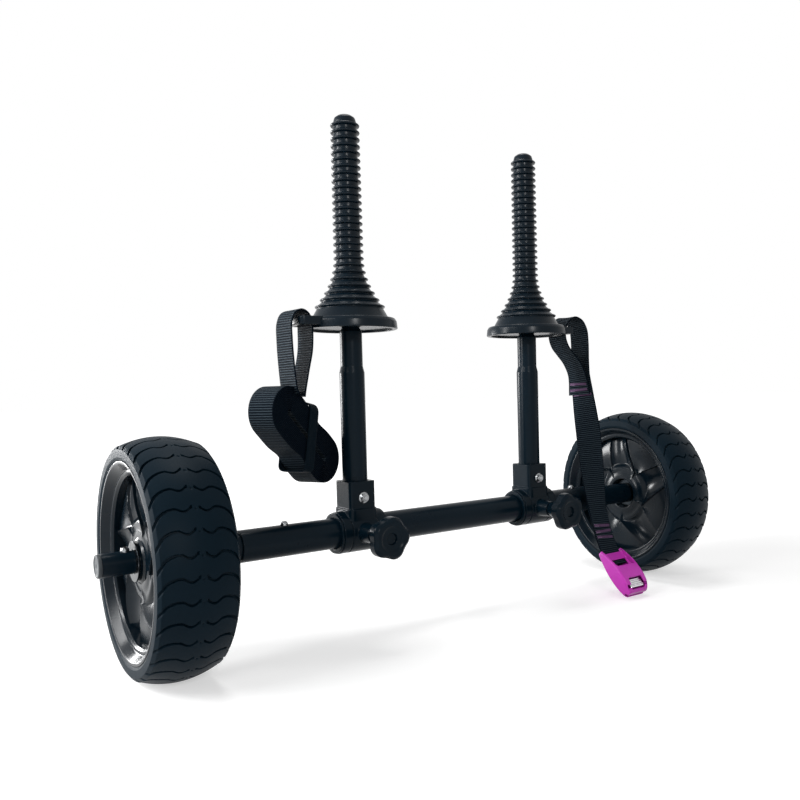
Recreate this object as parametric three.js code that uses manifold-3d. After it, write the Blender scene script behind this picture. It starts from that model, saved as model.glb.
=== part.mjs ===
// Kayak cart: two wheels on a crossbar, with two posts whose ribbed rubber plugs
// stand in the scupper holes of a sit-on-top kayak.
// Millimetres. X runs along the crossbar, Y from front to back, Z up.
// The origin is on the ground, midway between the wheels.

import * as THREE from 'three';
import { mergeVertices } from 'three/addons/utils/BufferGeometryUtils.js';
import Module from 'manifold-3d';

const wasm = await Module();
wasm.setup();

// Clearances
const seat_gap = 0.3; // between two pieces that touch
const turn_gap = 0.35; // round a piece that slides or turns in a bore
const cut_overrun = 3; // how far a cutting shape reaches past the face that it opens

// Crossbar
const crossbar_diameter = 38.1;
const crossbar_wall = 2.8;
const crossbar_length = 600;

// Wheels
const wheel_diameter = 266.7;
const track = 770; // between the middles of the tyres
const tyre_width = 82;
const tread_width = 74;
const shoulder_drop = 8.1; // the tread's crown, from the middle to the shoulder
const sidewall_drop = 12;
const sidewall_height = 8;
const bead_tuck = 2; // how far the sidewall stays inside the tyre's width at the rim

// Rims, with two faces that look alike from their own sides
const tyre_height = 24.35; // from the rim's lip to the middle of the tread
const rim_width = 80;
const rim_lip_height = 4; // above the seat of the tyre
const rim_lip_thickness = 4;
const rim_lip_edge = 3;
const dish_slope = 7; // how far the dish narrows down to its floor
const dish_depth = 9;
const ring_width = 6; // the rounded ring at the dish's floor
const ring_drop = 2;
const spoke_drop = 4; // from the ring down to the tops of the spokes
const pocket_depth = 9;
const pocket_count = 5;
const spoke_swirl = Math.PI / pocket_count; // both faces' ridges then meet the ring at the same angles
const rim_turn = THREE.MathUtils.degToRad(24);
const seat_steps = 6; // round the tyre's seat, where the section turns from one face's swirl to the other's
const rim_wall = 3;
const vent_radius = 3; // the hole through which the rim's hollow breathes
const hub_radius = 25;
const hub_bevel = 3;
const hub_outboard = 27; // the hub's outer face from the wheel's middle
const hub_inboard = 10;

// Hub bushes and washers
const bush_wall = 2.3;
const bush_flange_radius = 20;
const bush_flange_thickness = 2;
const bush_length = 15;
const washer_radius = 22;
const washer_thickness = 2;

// Axle tubes
const axle_diameter = 31.8;
const axle_wall = 2.8;
const axle_overlap = 78; // length inside the crossbar
const stub_diameter = 25.4;
const stub_wall = 2.5;
const shoulder_length = 3;
const stub_past_button = 25;
const wheel_play = 3; // between the outer washer and the button
const cap_flange_thickness = 4;
const cap_plug_length = 9;
const cap_edge_share = 0.7; // of the flange's thickness, up to its bevel
const cap_face_share = 0.84; // of the stub's radius, inside the bevel

// Snap buttons and their leaf springs
const button_diameter = 9.5;
const button_proud = 4.5;
const button_from_end = 58; // the crossbar button, from the crossbar's end
const leaf_thickness = 0.8;
const leaf_width = 6;
const leaf_reach = 20;
const leaf_bottom_gap = 1.5;
const leaf_straight_share = 0.6; // of the leaf's reach, before its bend
// The dome of a button: shares of its radius and of its height above the tube.
const button_dome_shares = [[1, 0.4], [0.8, 0.8], [0.4, 1]];

// Brackets
const left_post_inset = 157; // the post's axis, from the crossbar's end
const right_post_inset = 145;
const collar_radius = 26.5;
const sleeve_length = 60;
const waist_radius = 24.5; // the sleeve between its two collars
const waist_length = 22;
const block_width = 37;
const block_depth = 40;
const block_height = 65; // above the crossbar's axis
const block_corner = 5;
const boss_root_radius = 13;
const boss_tip_radius = 10.5;
const boss_reach = 47; // the boss's end, from the crossbar's axis
const socket_floor = 24; // the post's foot, above the crossbar's axis

// Bracket bushes
const bracket_bush_wall = 2.2;
const bracket_bush_length = 22;
const bracket_bush_flange_radius = 25.5;
const bracket_bush_flange = 3;

// Posts
const post_diameter = 31.8;
const post_upper_diameter = 28;
const post_tip_diameter = 22;
const post_wall = 2;
const tip_shoulder = 5; // length of the step under the plug
const swage_height = 201.65; // above the crossbar's axis
const swage_length = 8;
const post_in_plug = 220;

// Post bolts
const bolt_height = 44; // above the crossbar's axis
const bolt_diameter = 6;
const bolt_head_diameter = 10.5;
const bolt_head_height = 3.5;
const bolt_socket_width = 5;
const bolt_socket_depth = 2;
const bolt_tip_past_nut = 1;
const nut_width = 10;
const nut_height = 6;
const nut_flange_diameter = 14;
const nut_flange_thickness = 1.5;

// Clamp knobs
const knob_radius = 26.5;
const knob_lobe_depth = 2.6;
const knob_lobes = 5;
const knob_face = 88; // the knob's face, from the crossbar's axis
const knob_thickness = 18;
const knob_bevel = 3;
const knob_skirt_radius = 18; // the cone behind the head, where it meets the head
const knob_neck_radius = 10;
const knob_recess_radius = 6.5;
const knob_recess_depth = 5;
const knob_cover = 3; // plastic between the recess and the screw's end
const knob_dip_power = 1.3; // how narrow the dips between the lobes are
const knob_lobe_steps = 6;
const neck_gap = 0.9; // between the knob's neck and the boss
const screw_diameter = 8;
const screw_tip_diameter = 5;
const screw_tip_length = 4;
const pad_diameter = 11;
const pad_thickness = 7;
const insert_wall = 2;
const insert_length = 12;

// Scupper plugs
const flange_height = 255.95; // the flange's underside, above the crossbar's axis
const flange_radius = 59.6;
const flange_top_radius = 57;
const flange_thickness = 13.8;
const flange_recess_radius = 53;
const flange_recess_depth = 3;
const cone_foot_radius = 48.5;
const rib_count = 27;
const rib_pitch = 8.55;
const first_rib_height = 28.4; // above the flange's underside
const flare_radius = 24.7;
const flared_ribs = 7;
const waist_rib_radius = 19.6;
const top_rib_radius = 18.3;
const rib_edge = 1.2;
const rib_undercut = 5;
const flare_undercut = 2.5;
const dome_height = 17;
const dome_radius = 16.5;
// The dome: shares of its radius and of its height.
const dome_shares = [[1, 0.28], [1, 0.55], [0.75, 0.88], [0, 1]];
const ear_reach = 80;
const ear_width = 48;
const ear_thickness = 11;
const ear_corner = 6;
const slot_inner = 61.3; // the slot's near edge, from the post's axis
const slot_width = 7;
const slot_length = 41;

// Webbing
const webbing_width = 38;
const webbing_thickness = 2;
const route_steps = 2; // for each point of a strap's route
const roll_radius = 32;
const roll_lobe_out = 12; // the upper lobe's middle, outboard of the loop's end
const roll_lobe_spacing = 76;
const roll_slope = THREE.MathUtils.degToRad(47);
const roll_depth = 6; // y of the roll's middle where the strap enters it
const roll_turn = THREE.MathUtils.degToRad(20);
const keeper_width = 17;
const keeper_thickness = 1.6;
const keeper_tilt = THREE.MathUtils.degToRad(11);
const keeper_along_share = 0.6; // how far down the roll the keeper crosses it
const keeper_stand = 15; // how far the keeper's ends stand past the roll's sides

// Cam buckle
const buckle_length = 76;
const buckle_width = 48;
const buckle_thickness = 24;
const buckle_wall = 3;
const buckle_tilt = THREE.MathUtils.degToRad(45);
const strap_in_buckle = 23.97; // how far the strap's end reaches in
const strap_below_middle = 1.91; // the strap, below the buckle's middle plane
const buckle_corner = 4;
const deck_height = 1; // the deck over the strap, from the buckle's middle plane
const deck_thickness = 1.5;
const deck_start = 5;
const deck_end = 31; // where the hood starts, from the entry
const slot_window_start = 21;
const slot_window_width = 36;
const cavity_floor = 8; // below the buckle's middle plane
const cavity_end = 70;
const hood_roof = 9;
const lever_window_start = 55;
const lever_window_end = 73;
const lever_window_width = 28;
const mouth_height = 4;
const frame_thickness = 1.5;
const frame_start = 6;
const frame_end = 52;
const frame_ear_start = 35;
const frame_ear_end = 50;
const frame_ear_height = 5;
const pin_diameter = 4;
const pin_place = 42;
const cam_radius = 5.2;
const cam_width = 28;
const cam_offset = 2.3;
const lever_tip = 70;
const lever_drop = 3;
const lever_thickness = 3;
const ridge_count = 4;
const ridge_height = 1.2;
const spring_wall = 1.2;
const spring_length = 4.2;

// Facets of the round shapes
const round_sides = 20;
const small_sides = 12;
const nut_sides = 6;
const plug_sides = 16;
const tyre_sides = 40;
const corner_steps = 3;
const block_corner_steps = 4;
const roll_end_steps = 10;

// Places worked out from the sizes above
const axle_height = wheel_diameter / 2;
const flange_z = axle_height + flange_height;
const post_x_left = left_post_inset - crossbar_length / 2;
const post_x_right = crossbar_length / 2 - right_post_inset;
const rim_lip_radius = axle_height - tyre_height;
const rim_seat_radius = rim_lip_radius - rim_lip_height;
const rim_mouth_radius = rim_lip_radius - rim_lip_edge;
const dish_floor_radius = rim_mouth_radius - dish_slope;
const ring_inner_radius = dish_floor_radius - ring_width;
const hub_inner_face = track / 2 - hub_inboard;
const hub_outer_face = track / 2 + hub_outboard;
const inner_washer_x = hub_inner_face - bush_flange_thickness - seat_gap - washer_thickness;
const axle_shoulder_x = inner_washer_x - seat_gap;
const outer_washer_x = hub_outer_face + bush_flange_thickness + seat_gap;
const wheel_button_x = outer_washer_x + washer_thickness + wheel_play + button_diameter / 2;
const stub_end_x = wheel_button_x + stub_past_button;
const crossbar_button_x = crossbar_length / 2 - button_from_end;

// Colours and finishes
const black_paint = { color: 0x0b1319, roughness: 0.42, metalness: 0.3 };
const black_plastic = { color: 0x0a1118, roughness: 0.45, metalness: 0 };
const gloss_plastic = { color: 0x080d12, roughness: 0.18, metalness: 0 };
const black_rubber = { color: 0x0d1218, roughness: 0.75, metalness: 0 };
const tyre_rubber = { color: 0x0c1116, roughness: 0.7, metalness: 0 };
const grey_plastic = { color: 0x8d9296, roughness: 0.5, metalness: 0 };
const steel = { color: 0xb9bcc0, roughness: 0.3, metalness: 1 };
const brass = { color: 0xb08d4a, roughness: 0.35, metalness: 1 };
const webbing = { color: 0x0b0d11, roughness: 0.85, metalness: 0 };
const magenta_plastic = { color: 0xb42aa4, roughness: 0.35, metalness: 0 };

// A closed geometry as a solid that can be cut and joined.
function solidOf(geometry) {
  const bare = geometry.index ? geometry.toNonIndexed() : geometry.clone();
  bare.deleteAttribute('normal');
  bare.deleteAttribute('uv');
  const merged = mergeVertices(bare);
  const solid = new wasm.Manifold(new wasm.Mesh({
    numProp: 3,
    vertProperties: new Float32Array(merged.attributes.position.array),
    triVerts: new Uint32Array(merged.index.array),
  }));
  return solid;
}

// The geometry of a solid.
function geometryOf(solid) {
  const mesh = solid.getMesh();
  const geometry = new THREE.BufferGeometry();
  geometry.setAttribute('position', new THREE.BufferAttribute(new Float32Array(mesh.vertProperties), 3));
  geometry.setIndex(new THREE.BufferAttribute(new Uint32Array(mesh.triVerts), 1));
  geometry.computeVertexNormals();
  return geometry;
}

function cut(body, ...tools) {
  let solid = solidOf(body);
  for (const tool of tools) {
    solid = solid.subtract(solidOf(tool));
  }
  return geometryOf(solid);
}

function join(body, ...others) {
  let solid = solidOf(body);
  for (const other of others) {
    solid = solid.add(solidOf(other));
  }
  return geometryOf(solid);
}

// A solid of revolution about X, from a closed outline of [x, radius].
function turnedX(outline, sides = round_sides) {
  const points = outline.map(([x, radius]) => new THREE.Vector2(radius, x));
  const geometry = new THREE.LatheGeometry(points, sides);
  geometry.rotateZ(-Math.PI / 2);
  return facingOut(geometry);
}

// A solid of revolution about Z, from an outline of [radius, z].
function turnedZ(outline, sides = round_sides) {
  const points = outline.map(([radius, z]) => new THREE.Vector2(radius, z));
  const geometry = new THREE.LatheGeometry(points, sides);
  geometry.rotateX(Math.PI / 2);
  return facingOut(geometry);
}

// Turns the faces round where they point inwards.
function facingOut(geometry) {
  const position = geometry.attributes.position;
  const index = geometry.index;
  let volume = 0;
  const a = new THREE.Vector3();
  const b = new THREE.Vector3();
  const c = new THREE.Vector3();
  for (let i = 0; i < index.count; i += 3) {
    a.fromBufferAttribute(position, index.getX(i));
    b.fromBufferAttribute(position, index.getX(i + 1));
    c.fromBufferAttribute(position, index.getX(i + 2));
    volume += a.dot(b.cross(c));
  }
  if (volume < 0) {
    for (let i = 0; i < index.count; i += 3) {
      const first = index.getX(i);
      index.setX(i, index.getX(i + 1));
      index.setX(i + 1, first);
    }
  }
  return geometry;
}

// A tube along X between two places.
function tubeX(outer, inner, from, to, sides = round_sides) {
  return turnedX([[from, inner], [from, outer], [to, outer], [to, inner], [from, inner]], sides);
}

// A rod along an axis ('x', 'y' or 'z') between two places on it.
function rod(axis, radius, from, to, sides = small_sides, endRadius = radius) {
  const geometry = new THREE.CylinderGeometry(endRadius, radius, to - from, sides);
  geometry.translate(0, (from + to) / 2, 0);
  if (axis === 'x') {
    geometry.rotateZ(-Math.PI / 2);
  }
  if (axis === 'z') {
    geometry.rotateX(Math.PI / 2);
  }
  return geometry;
}

// A box between two corners.
function box(low, high) {
  const size = high.map((value, i) => value - low[i]);
  const geometry = new THREE.BoxGeometry(...size);
  geometry.translate(...high.map((value, i) => (value + low[i]) / 2));
  return geometry;
}

function roundedRectangle(width, height, corner) {
  const x = width / 2 - corner;
  const y = height / 2 - corner;
  const shape = new THREE.Shape();
  shape.absarc(x, y, corner, 0, Math.PI / 2);
  shape.absarc(-x, y, corner, Math.PI / 2, Math.PI);
  shape.absarc(-x, -y, corner, Math.PI, Math.PI * 1.5);
  shape.absarc(x, -y, corner, Math.PI * 1.5, Math.PI * 2);
  return shape;
}

// An outline in X and Y, extruded along Z from one height to another.
function prism(shape, from, to, curveSegments = block_corner_steps) {
  const geometry = new THREE.ExtrudeGeometry(shape, { depth: to - from, bevelEnabled: false, curveSegments });
  geometry.translate(0, 0, from);
  return geometry;
}

// A solid through a row of rings with the same number of points, closed at both ends.
function lofted(rings) {
  const count = rings[0].length;
  const positions = rings.flat().flatMap((point) => point.toArray());
  const triangles = [];
  for (let i = 0; i + 1 < rings.length; i += 1) {
    for (let j = 0; j < count; j += 1) {
      const next = (j + 1) % count;
      const a = i * count + j;
      const b = i * count + next;
      triangles.push(a, b, b + count, a, b + count, a + count);
    }
  }
  const last = (rings.length - 1) * count;
  for (let j = 1; j + 1 < count; j += 1) {
    triangles.push(0, j + 1, j, last, last + j, last + j + 1);
  }
  const geometry = new THREE.BufferGeometry();
  geometry.setAttribute('position', new THREE.Float32BufferAttribute(positions, 3));
  geometry.setIndex(triangles);
  return facingOut(geometry);
}

// A flat ribbon along a curve. widthAt gives the direction of its width at a share of the way.
function ribbon(points, steps, widthAt) {
  const curve = new THREE.CatmullRomCurve3(points, false, 'centripetal');
  const rings = [];
  for (let i = 0; i <= steps; i += 1) {
    const share = i / steps;
    const middle = curve.getPointAt(share);
    const along = curve.getTangentAt(share);
    const normal = new THREE.Vector3().crossVectors(along, widthAt(share, middle)).normalize();
    const across = new THREE.Vector3().crossVectors(normal, along).normalize();
    const corner = (side, face) => middle.clone()
      .addScaledVector(across, side * webbing_width / 2)
      .addScaledVector(normal, face * webbing_thickness / 2);
    rings.push([corner(-1, -1), corner(1, -1), corner(1, 1), corner(-1, 1)]);
  }
  return lofted(rings);
}

const cart = new THREE.Group();

function add(name, geometry, finish, parent = cart) {
  const mesh = new THREE.Mesh(geometry, new THREE.MeshStandardMaterial(finish));
  mesh.name = name;
  parent.add(mesh);
  return mesh;
}

// A group on the axle line, turned round for the left side so that +X points outboard.
function sideGroup(side, x = 0) {
  const group = new THREE.Group();
  group.position.set(x, 0, axle_height);
  group.rotation.z = side < 0 ? Math.PI : 0;
  cart.add(group);
  return group;
}

// Crossbar

function crossbarTube() {
  const radius = crossbar_diameter / 2;
  const half = crossbar_length / 2;
  const tube = tubeX(radius, radius - crossbar_wall, -half, half);
  const hole = button_diameter / 2 + seat_gap;
  const left = rod('z', hole, 0, radius + cut_overrun);
  const right = left.clone();
  left.translate(-crossbar_button_x, 0, 0);
  right.translate(crossbar_button_x, 0, 0);
  return cut(tube, left, right);
}

// Axle tubes, with the outboard end along +X

function axleTube() {
  const outer = axle_diameter / 2;
  const inner = outer - axle_wall;
  const stubOuter = stub_diameter / 2;
  const stubInner = stubOuter - stub_wall;
  const start = crossbar_length / 2 - axle_overlap;
  const tube = turnedX([
    [start, inner],
    [start, outer],
    [axle_shoulder_x, outer],
    [axle_shoulder_x, stubOuter],
    [stub_end_x, stubOuter],
    [stub_end_x, stubInner],
    [axle_shoulder_x, stubInner],
    [axle_shoulder_x - shoulder_length, inner],
    [start, inner],
  ]);
  const hole = rod('z', button_diameter / 2 + seat_gap, 0, outer + cut_overrun);
  const wheelHole = hole.clone();
  hole.translate(crossbar_button_x, 0, 0);
  wheelHole.translate(wheel_button_x, 0, 0);
  return cut(tube, hole, wheelHole);
}

function axleCap() {
  const plug = stub_diameter / 2 - stub_wall - seat_gap;
  const face = stub_end_x + seat_gap;
  return turnedX([
    [face - cap_plug_length, 0],
    [face - cap_plug_length, plug],
    [face, plug],
    [face, stub_diameter / 2],
    [face + cap_flange_thickness * cap_edge_share, stub_diameter / 2],
    [face + cap_flange_thickness, stub_diameter / 2 * cap_face_share],
    [face + cap_flange_thickness, 0],
  ]);
}

// A domed pin that stands out of a tube of the given radius, on a head inside the tube.
function snapButton(tubeRadius, innerRadius) {
  const radius = button_diameter / 2;
  const top = tubeRadius + button_proud;
  const foot = innerRadius - leaf_bottom_gap;
  return turnedZ([
    [0, foot],
    [radius, foot],
    ...button_dome_shares.map(([share, rise]) => [radius * share, tubeRadius + button_proud * rise]),
    [0, top],
  ], small_sides);
}

// A leaf bent to a V: its upper leg lies under the button and its lower leg on the tube's wall.
function leafSpring(innerRadius, bend) {
  const upper = innerRadius - leaf_bottom_gap - seat_gap;
  const lower = -Math.sqrt(innerRadius ** 2 - (leaf_width / 2) ** 2) + seat_gap;
  const end = bend * leaf_reach;
  const back = -bend * button_diameter / 2;
  const shape = new THREE.Shape([
    new THREE.Vector2(back, upper),
    new THREE.Vector2(back, upper - leaf_thickness),
    new THREE.Vector2(end - bend * leaf_thickness * 2, 0),
    new THREE.Vector2(back, lower + leaf_thickness),
    new THREE.Vector2(back, lower),
    new THREE.Vector2(end * leaf_straight_share, lower),
    new THREE.Vector2(end, 0),
    new THREE.Vector2(end * leaf_straight_share, upper),
  ]);
  const geometry = prism(shape, -leaf_width / 2, leaf_width / 2);
  geometry.rotateX(Math.PI / 2);
  return geometry;
}

function axleParts(name, side) {
  const group = sideGroup(side);
  const bore = axle_diameter / 2 - axle_wall;
  const stubBore = stub_diameter / 2 - stub_wall;
  add(`${name}_axle_tube`, axleTube(), black_paint, group);
  add(`${name}_axle_cap`, axleCap(), grey_plastic, group);

  const crossbarPin = snapButton(crossbar_diameter / 2, bore);
  const crossbarButton = add(`${name}_crossbar_button`, crossbarPin, steel, group);
  crossbarButton.position.x = crossbar_button_x;
  const wheelButton = add(`${name}_wheel_button`, snapButton(stub_diameter / 2, stubBore), steel, group);
  wheelButton.position.x = wheel_button_x;
  const crossbarSpring = add(`${name}_crossbar_button_spring`, leafSpring(bore, 1), steel, group);
  crossbarSpring.position.x = crossbar_button_x;
  const wheelSpring = add(`${name}_wheel_button_spring`, leafSpring(stubBore, -1), steel, group);
  wheelSpring.position.x = wheel_button_x;

  const washer_bore = stub_diameter / 2 + turn_gap;
  const innerWasher = tubeX(washer_radius, washer_bore, inner_washer_x, inner_washer_x + washer_thickness);
  const outerWasher = tubeX(washer_radius, washer_bore, outer_washer_x, outer_washer_x + washer_thickness);
  add(`${name}_inner_washer`, innerWasher, steel, group);
  add(`${name}_outer_washer`, outerWasher, steel, group);
}

// Wheels, about their own middle, with +X outboard

// Tread crown shares: how far across the half width, and how much of the drop there.
const crown_shares = [0, 0.55, 1];

function tyre() {
  const radius = wheel_diameter / 2;
  const flat_share = Math.cos(Math.PI / tyre_sides);
  const seat = (rim_seat_radius + seat_gap) / flat_share;
  const lip = (rim_lip_radius + seat_gap) / flat_share;
  const between = rim_width / 2 - rim_lip_thickness - seat_gap;
  const half = tyre_width / 2;
  const side = [
    ...crown_shares.map((share) => [share * tread_width / 2, radius - shoulder_drop * share ** 2]),
    [half, radius - sidewall_drop],
    [half, radius - sidewall_drop - sidewall_height],
    [half - bead_tuck, lip],
    [between, lip],
    [between, seat],
  ];
  const mirrored = side.slice(1).reverse().map(([x, r]) => [-x, r]);
  const outline = [...mirrored, ...side];
  return turnedX([...outline, outline[0]], tyre_sides);
}

function hubBush(face, inboard) {
  const bore = stub_diameter / 2 + turn_gap;
  const barrel = bore + bush_wall;
  const flange = face + inboard * -bush_flange_thickness;
  const root = face - inboard * seat_gap;
  const end = face + inboard * bush_length;
  return turnedX([
    [flange, bore],
    [flange, bush_flange_radius],
    [root, bush_flange_radius],
    [root, barrel],
    [end, barrel],
    [end, bore],
    [flange, bore],
  ]);
}

// Shares of one spoke's sector, with how deep the face lies there below the ridge: a hollow, then a shallow panel.
const sector_shares = [
  [0, 0],
  [0.03, 0.04],
  [0.15, 0.3],
  [0.3, 0.65],
  [0.46, 1],
  [0.54, 0.42],
  [0.7, 0.42],
  [0.85, 0.42],
  [0.97, 0.42],
];
// Shares of the way from the hub to the ring, of a hollow's depth there, and of the swirl.
const spoke_shares = [
  [0.08, 0, 0],
  [0.3, 0, 0.04],
  [0.42, 0.9, 0.33],
  [0.58, 1, 0.64],
  [0.8, 1, 0.91],
  [0.96, 0.9, 1],
  [1, 0, 1],
];

// Half of a rim's section, from the hub out to the lip, for one direction round the axis.
function rimFace(side, sector) {
  const half = rim_width / 2;
  const floor = half - dish_depth;
  const spoke = floor - ring_drop - spoke_drop;
  const points = spoke_shares.map(([share, reach, swirl_share]) => {
    const radius = hub_radius + share * (ring_inner_radius - hub_radius);
    return [side * (spoke - pocket_depth * reach * sector), radius, side * spoke_swirl * swirl_share];
  });
  const ringTurn = side * spoke_swirl;
  return [
    ...points,
    [side * (floor - ring_drop), ring_inner_radius + seat_gap, ringTurn],
    [side * floor, dish_floor_radius, ringTurn],
    [side * half, rim_mouth_radius, ringTurn],
    [side * half, rim_lip_radius, ringTurn],
    [side * (half - rim_lip_thickness), rim_lip_radius, ringTurn],
    [side * (half - rim_lip_thickness), rim_seat_radius, ringTurn],
  ];
}

function rim() {
  const bore = stub_diameter / 2 + turn_gap + bush_wall + seat_gap;
  const spoke = rim_width / 2 - dish_depth - ring_drop - spoke_drop;
  const seatEnd = rim_width / 2 - rim_lip_thickness;
  const seat = [];
  for (let step = 1; step < seat_steps; step += 1) {
    const share = 1 - 2 * step / seat_steps;
    seat.push([seatEnd * share, rim_seat_radius, spoke_swirl * share]);
  }
  const rings = [];
  for (let sector = 0; sector < pocket_count; sector += 1) {
    sector_shares.forEach(([share, depth], place) => {
      const mirrored = sector_shares[(sector_shares.length - place) % sector_shares.length][1];
      const angle = (sector + share) * 2 * Math.PI / pocket_count + spoke_swirl + rim_turn;
      const section = [
        ...rimFace(1, depth),
        ...seat,
        ...rimFace(-1, mirrored).reverse(),
        [-spoke, hub_radius, 0],
        [-hub_inboard, hub_radius - hub_bevel, 0],
        [-hub_inboard, bore, 0],
        [hub_outboard, bore, 0],
        [hub_outboard, hub_radius - hub_bevel, 0],
        [spoke, hub_radius, 0],
      ];
      rings.push(section.map(([x, radius, swirl]) => new THREE.Vector3(
        x,
        radius * Math.cos(angle + swirl),
        radius * Math.sin(angle + swirl),
      )));
    });
  }
  const hollow = spoke - pocket_depth - rim_wall;
  const hollowFoot = hub_radius + rim_wall;
  const hollowTop = ring_inner_radius - rim_wall;
  const inside = turnedX([
    [-hollow, hollowFoot],
    [-hollow, hollowTop],
    [hollow, hollowTop],
    [hollow, hollowFoot],
    [-hollow, hollowFoot],
  ]);
  const vent = rod('z', vent_radius, hollowTop - cut_overrun, rim_seat_radius + cut_overrun);
  return cut(wrapped(rings), inside, vent);
}

// A solid through rings that follow each other all the way round an axis.
function wrapped(rings) {
  const count = rings[0].length;
  const positions = rings.flat().flatMap((point) => point.toArray());
  const triangles = [];
  for (let i = 0; i < rings.length; i += 1) {
    const following = (i + 1) % rings.length;
    for (let j = 0; j < count; j += 1) {
      const next = (j + 1) % count;
      const a = i * count + j;
      const b = i * count + next;
      const c = following * count + next;
      const d = following * count + j;
      triangles.push(a, b, c, a, c, d);
    }
  }
  const geometry = new THREE.BufferGeometry();
  geometry.setAttribute('position', new THREE.Float32BufferAttribute(positions, 3));
  geometry.setIndex(triangles);
  return facingOut(geometry);
}

function wheelParts(name, side) {
  const group = sideGroup(side, side * track / 2);
  add(`${name}_tyre`, tyre(), tyre_rubber, group);
  add(`${name}_rim`, rim(), gloss_plastic, group);
  add(`${name}_outer_hub_bush`, hubBush(hub_outboard, -1), black_plastic, group);
  add(`${name}_inner_hub_bush`, hubBush(-hub_inboard, 1), black_plastic, group);
}

// Brackets, about the crossing of the crossbar's and the post's axes

const bracket_bore = crossbar_diameter / 2 + turn_gap + bracket_bush_wall + turn_gap;

function bracket() {
  const half = sleeve_length / 2;
  const waist = waist_length / 2;
  const sleeve = turnedX([
    [-half, 0],
    [-half, collar_radius],
    [-waist, collar_radius],
    [-waist, waist_radius],
    [waist, waist_radius],
    [waist, collar_radius],
    [half, collar_radius],
    [half, 0],
  ]);
  const block = prism(roundedRectangle(block_width, block_depth, block_corner), 0, block_height);
  const boss = rod('y', boss_tip_radius, -boss_reach, 0, round_sides, boss_root_radius);
  const body = join(sleeve, block, boss);

  const bore = rod('x', bracket_bore, -half - cut_overrun, half + cut_overrun, round_sides);
  const socketTop = block_height + cut_overrun;
  const socket = rod('z', post_diameter / 2 + seat_gap, socket_floor, socketTop, round_sides);
  const padHole = rod('y', pad_diameter / 2 + turn_gap, -boss_reach + insert_length, -crossbar_diameter / 2);
  const insertHole = rod('y', screw_diameter / 2 + insert_wall + seat_gap, -boss_reach - cut_overrun,
    -boss_reach + insert_length + seat_gap);
  const boltHole = rod('y', bolt_diameter / 2 + seat_gap, -block_depth, block_depth);
  boltHole.translate(0, 0, bolt_height);
  return cut(body, bore, socket, padHole, insertHole, boltHole);
}

// One of a sleeve's two flanged bushes, at the end that side names.
function bracketBush(side) {
  const bore = crossbar_diameter / 2 + turn_gap;
  const barrel = bore + bracket_bush_wall;
  const root = side * (sleeve_length / 2 + seat_gap);
  const flange = root + side * bracket_bush_flange;
  const end = root - side * bracket_bush_length;
  return turnedX([
    [end, bore],
    [end, barrel],
    [root, barrel],
    [root, bracket_bush_flange_radius],
    [flange, bracket_bush_flange_radius],
    [flange, bore],
    [end, bore],
  ]);
}

function clampInsert() {
  const outer = rod('y', screw_diameter / 2 + insert_wall, -boss_reach, -boss_reach + insert_length);
  const bore = rod('y', screw_diameter / 2 + turn_gap, -boss_reach - cut_overrun,
    -boss_reach + insert_length + cut_overrun);
  return cut(outer, bore);
}

const pad_face = crossbar_diameter / 2 + seat_gap;
const screw_shoulder = pad_face + pad_thickness + seat_gap;

function clampPad() {
  const disc = rod('y', pad_diameter / 2, -pad_face - pad_thickness, -pad_face);
  const bore = rod('y', screw_tip_diameter / 2 + turn_gap, -pad_face - pad_thickness - cut_overrun,
    -screw_shoulder + screw_tip_length + seat_gap);
  return cut(disc, bore);
}

const knob_back = knob_face - knob_thickness;
const screw_hole_end = knob_face - knob_recess_depth - knob_cover;

function clampScrew() {
  const shank = rod('y', screw_diameter / 2, -screw_hole_end + neck_gap, -screw_shoulder);
  const tipEnd = -screw_shoulder + screw_tip_length;
  const tip = rod('y', screw_tip_diameter / 2, -screw_shoulder - seat_gap, tipEnd);
  return join(shank, tip);
}

function clampKnob() {
  const points = [];
  const steps = knob_lobes * knob_lobe_steps;
  for (let i = 0; i < steps; i += 1) {
    const angle = i / steps * 2 * Math.PI;
    const dip = (0.5 - 0.5 * Math.cos(knob_lobes * angle)) ** knob_dip_power;
    const radius = knob_radius - knob_bevel - knob_lobe_depth * dip;
    points.push(new THREE.Vector2(radius * Math.sin(angle), radius * Math.cos(angle)));
  }
  const head = new THREE.ExtrudeGeometry(new THREE.Shape(points), {
    depth: knob_thickness - 2 * knob_bevel,
    bevelThickness: knob_bevel,
    bevelSize: knob_bevel,
    bevelSegments: 1,
  });
  head.translate(0, 0, knob_back + knob_bevel);
  head.rotateX(Math.PI / 2);
  const neck = rod('y', knob_skirt_radius, -knob_back - knob_bevel, -boss_reach - neck_gap, round_sides,
    knob_neck_radius);
  const recess = rod('y', knob_recess_radius, -knob_face - cut_overrun, -knob_face + knob_recess_depth);
  const bore = rod('y', screw_diameter / 2 + seat_gap, -screw_hole_end, -boss_reach + cut_overrun);
  return cut(join(head, neck), recess, bore);
}

// Posts

function postTube() {
  const lower = post_diameter / 2;
  const upper = post_upper_diameter / 2;
  const tip = post_tip_diameter / 2;
  const swage = swage_height;
  const plug = flange_height;
  const top = plug + post_in_plug;
  const foot = socket_floor + seat_gap;
  const outside = [
    [lower, foot],
    [lower, swage],
    [upper, swage + swage_length],
    [upper, plug + flange_recess_depth - seat_gap - tip_shoulder],
    [tip, plug + flange_recess_depth - seat_gap],
    [tip, top],
  ];
  const inside = outside.slice().reverse().map(([radius, z]) => [radius - post_wall, z]);
  const tube = turnedZ([...outside, ...inside, outside[0]]);
  const hole = rod('y', bolt_diameter / 2 + seat_gap, -post_diameter, post_diameter);
  hole.translate(0, 0, bolt_height);
  return cut(tube, hole);
}

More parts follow.
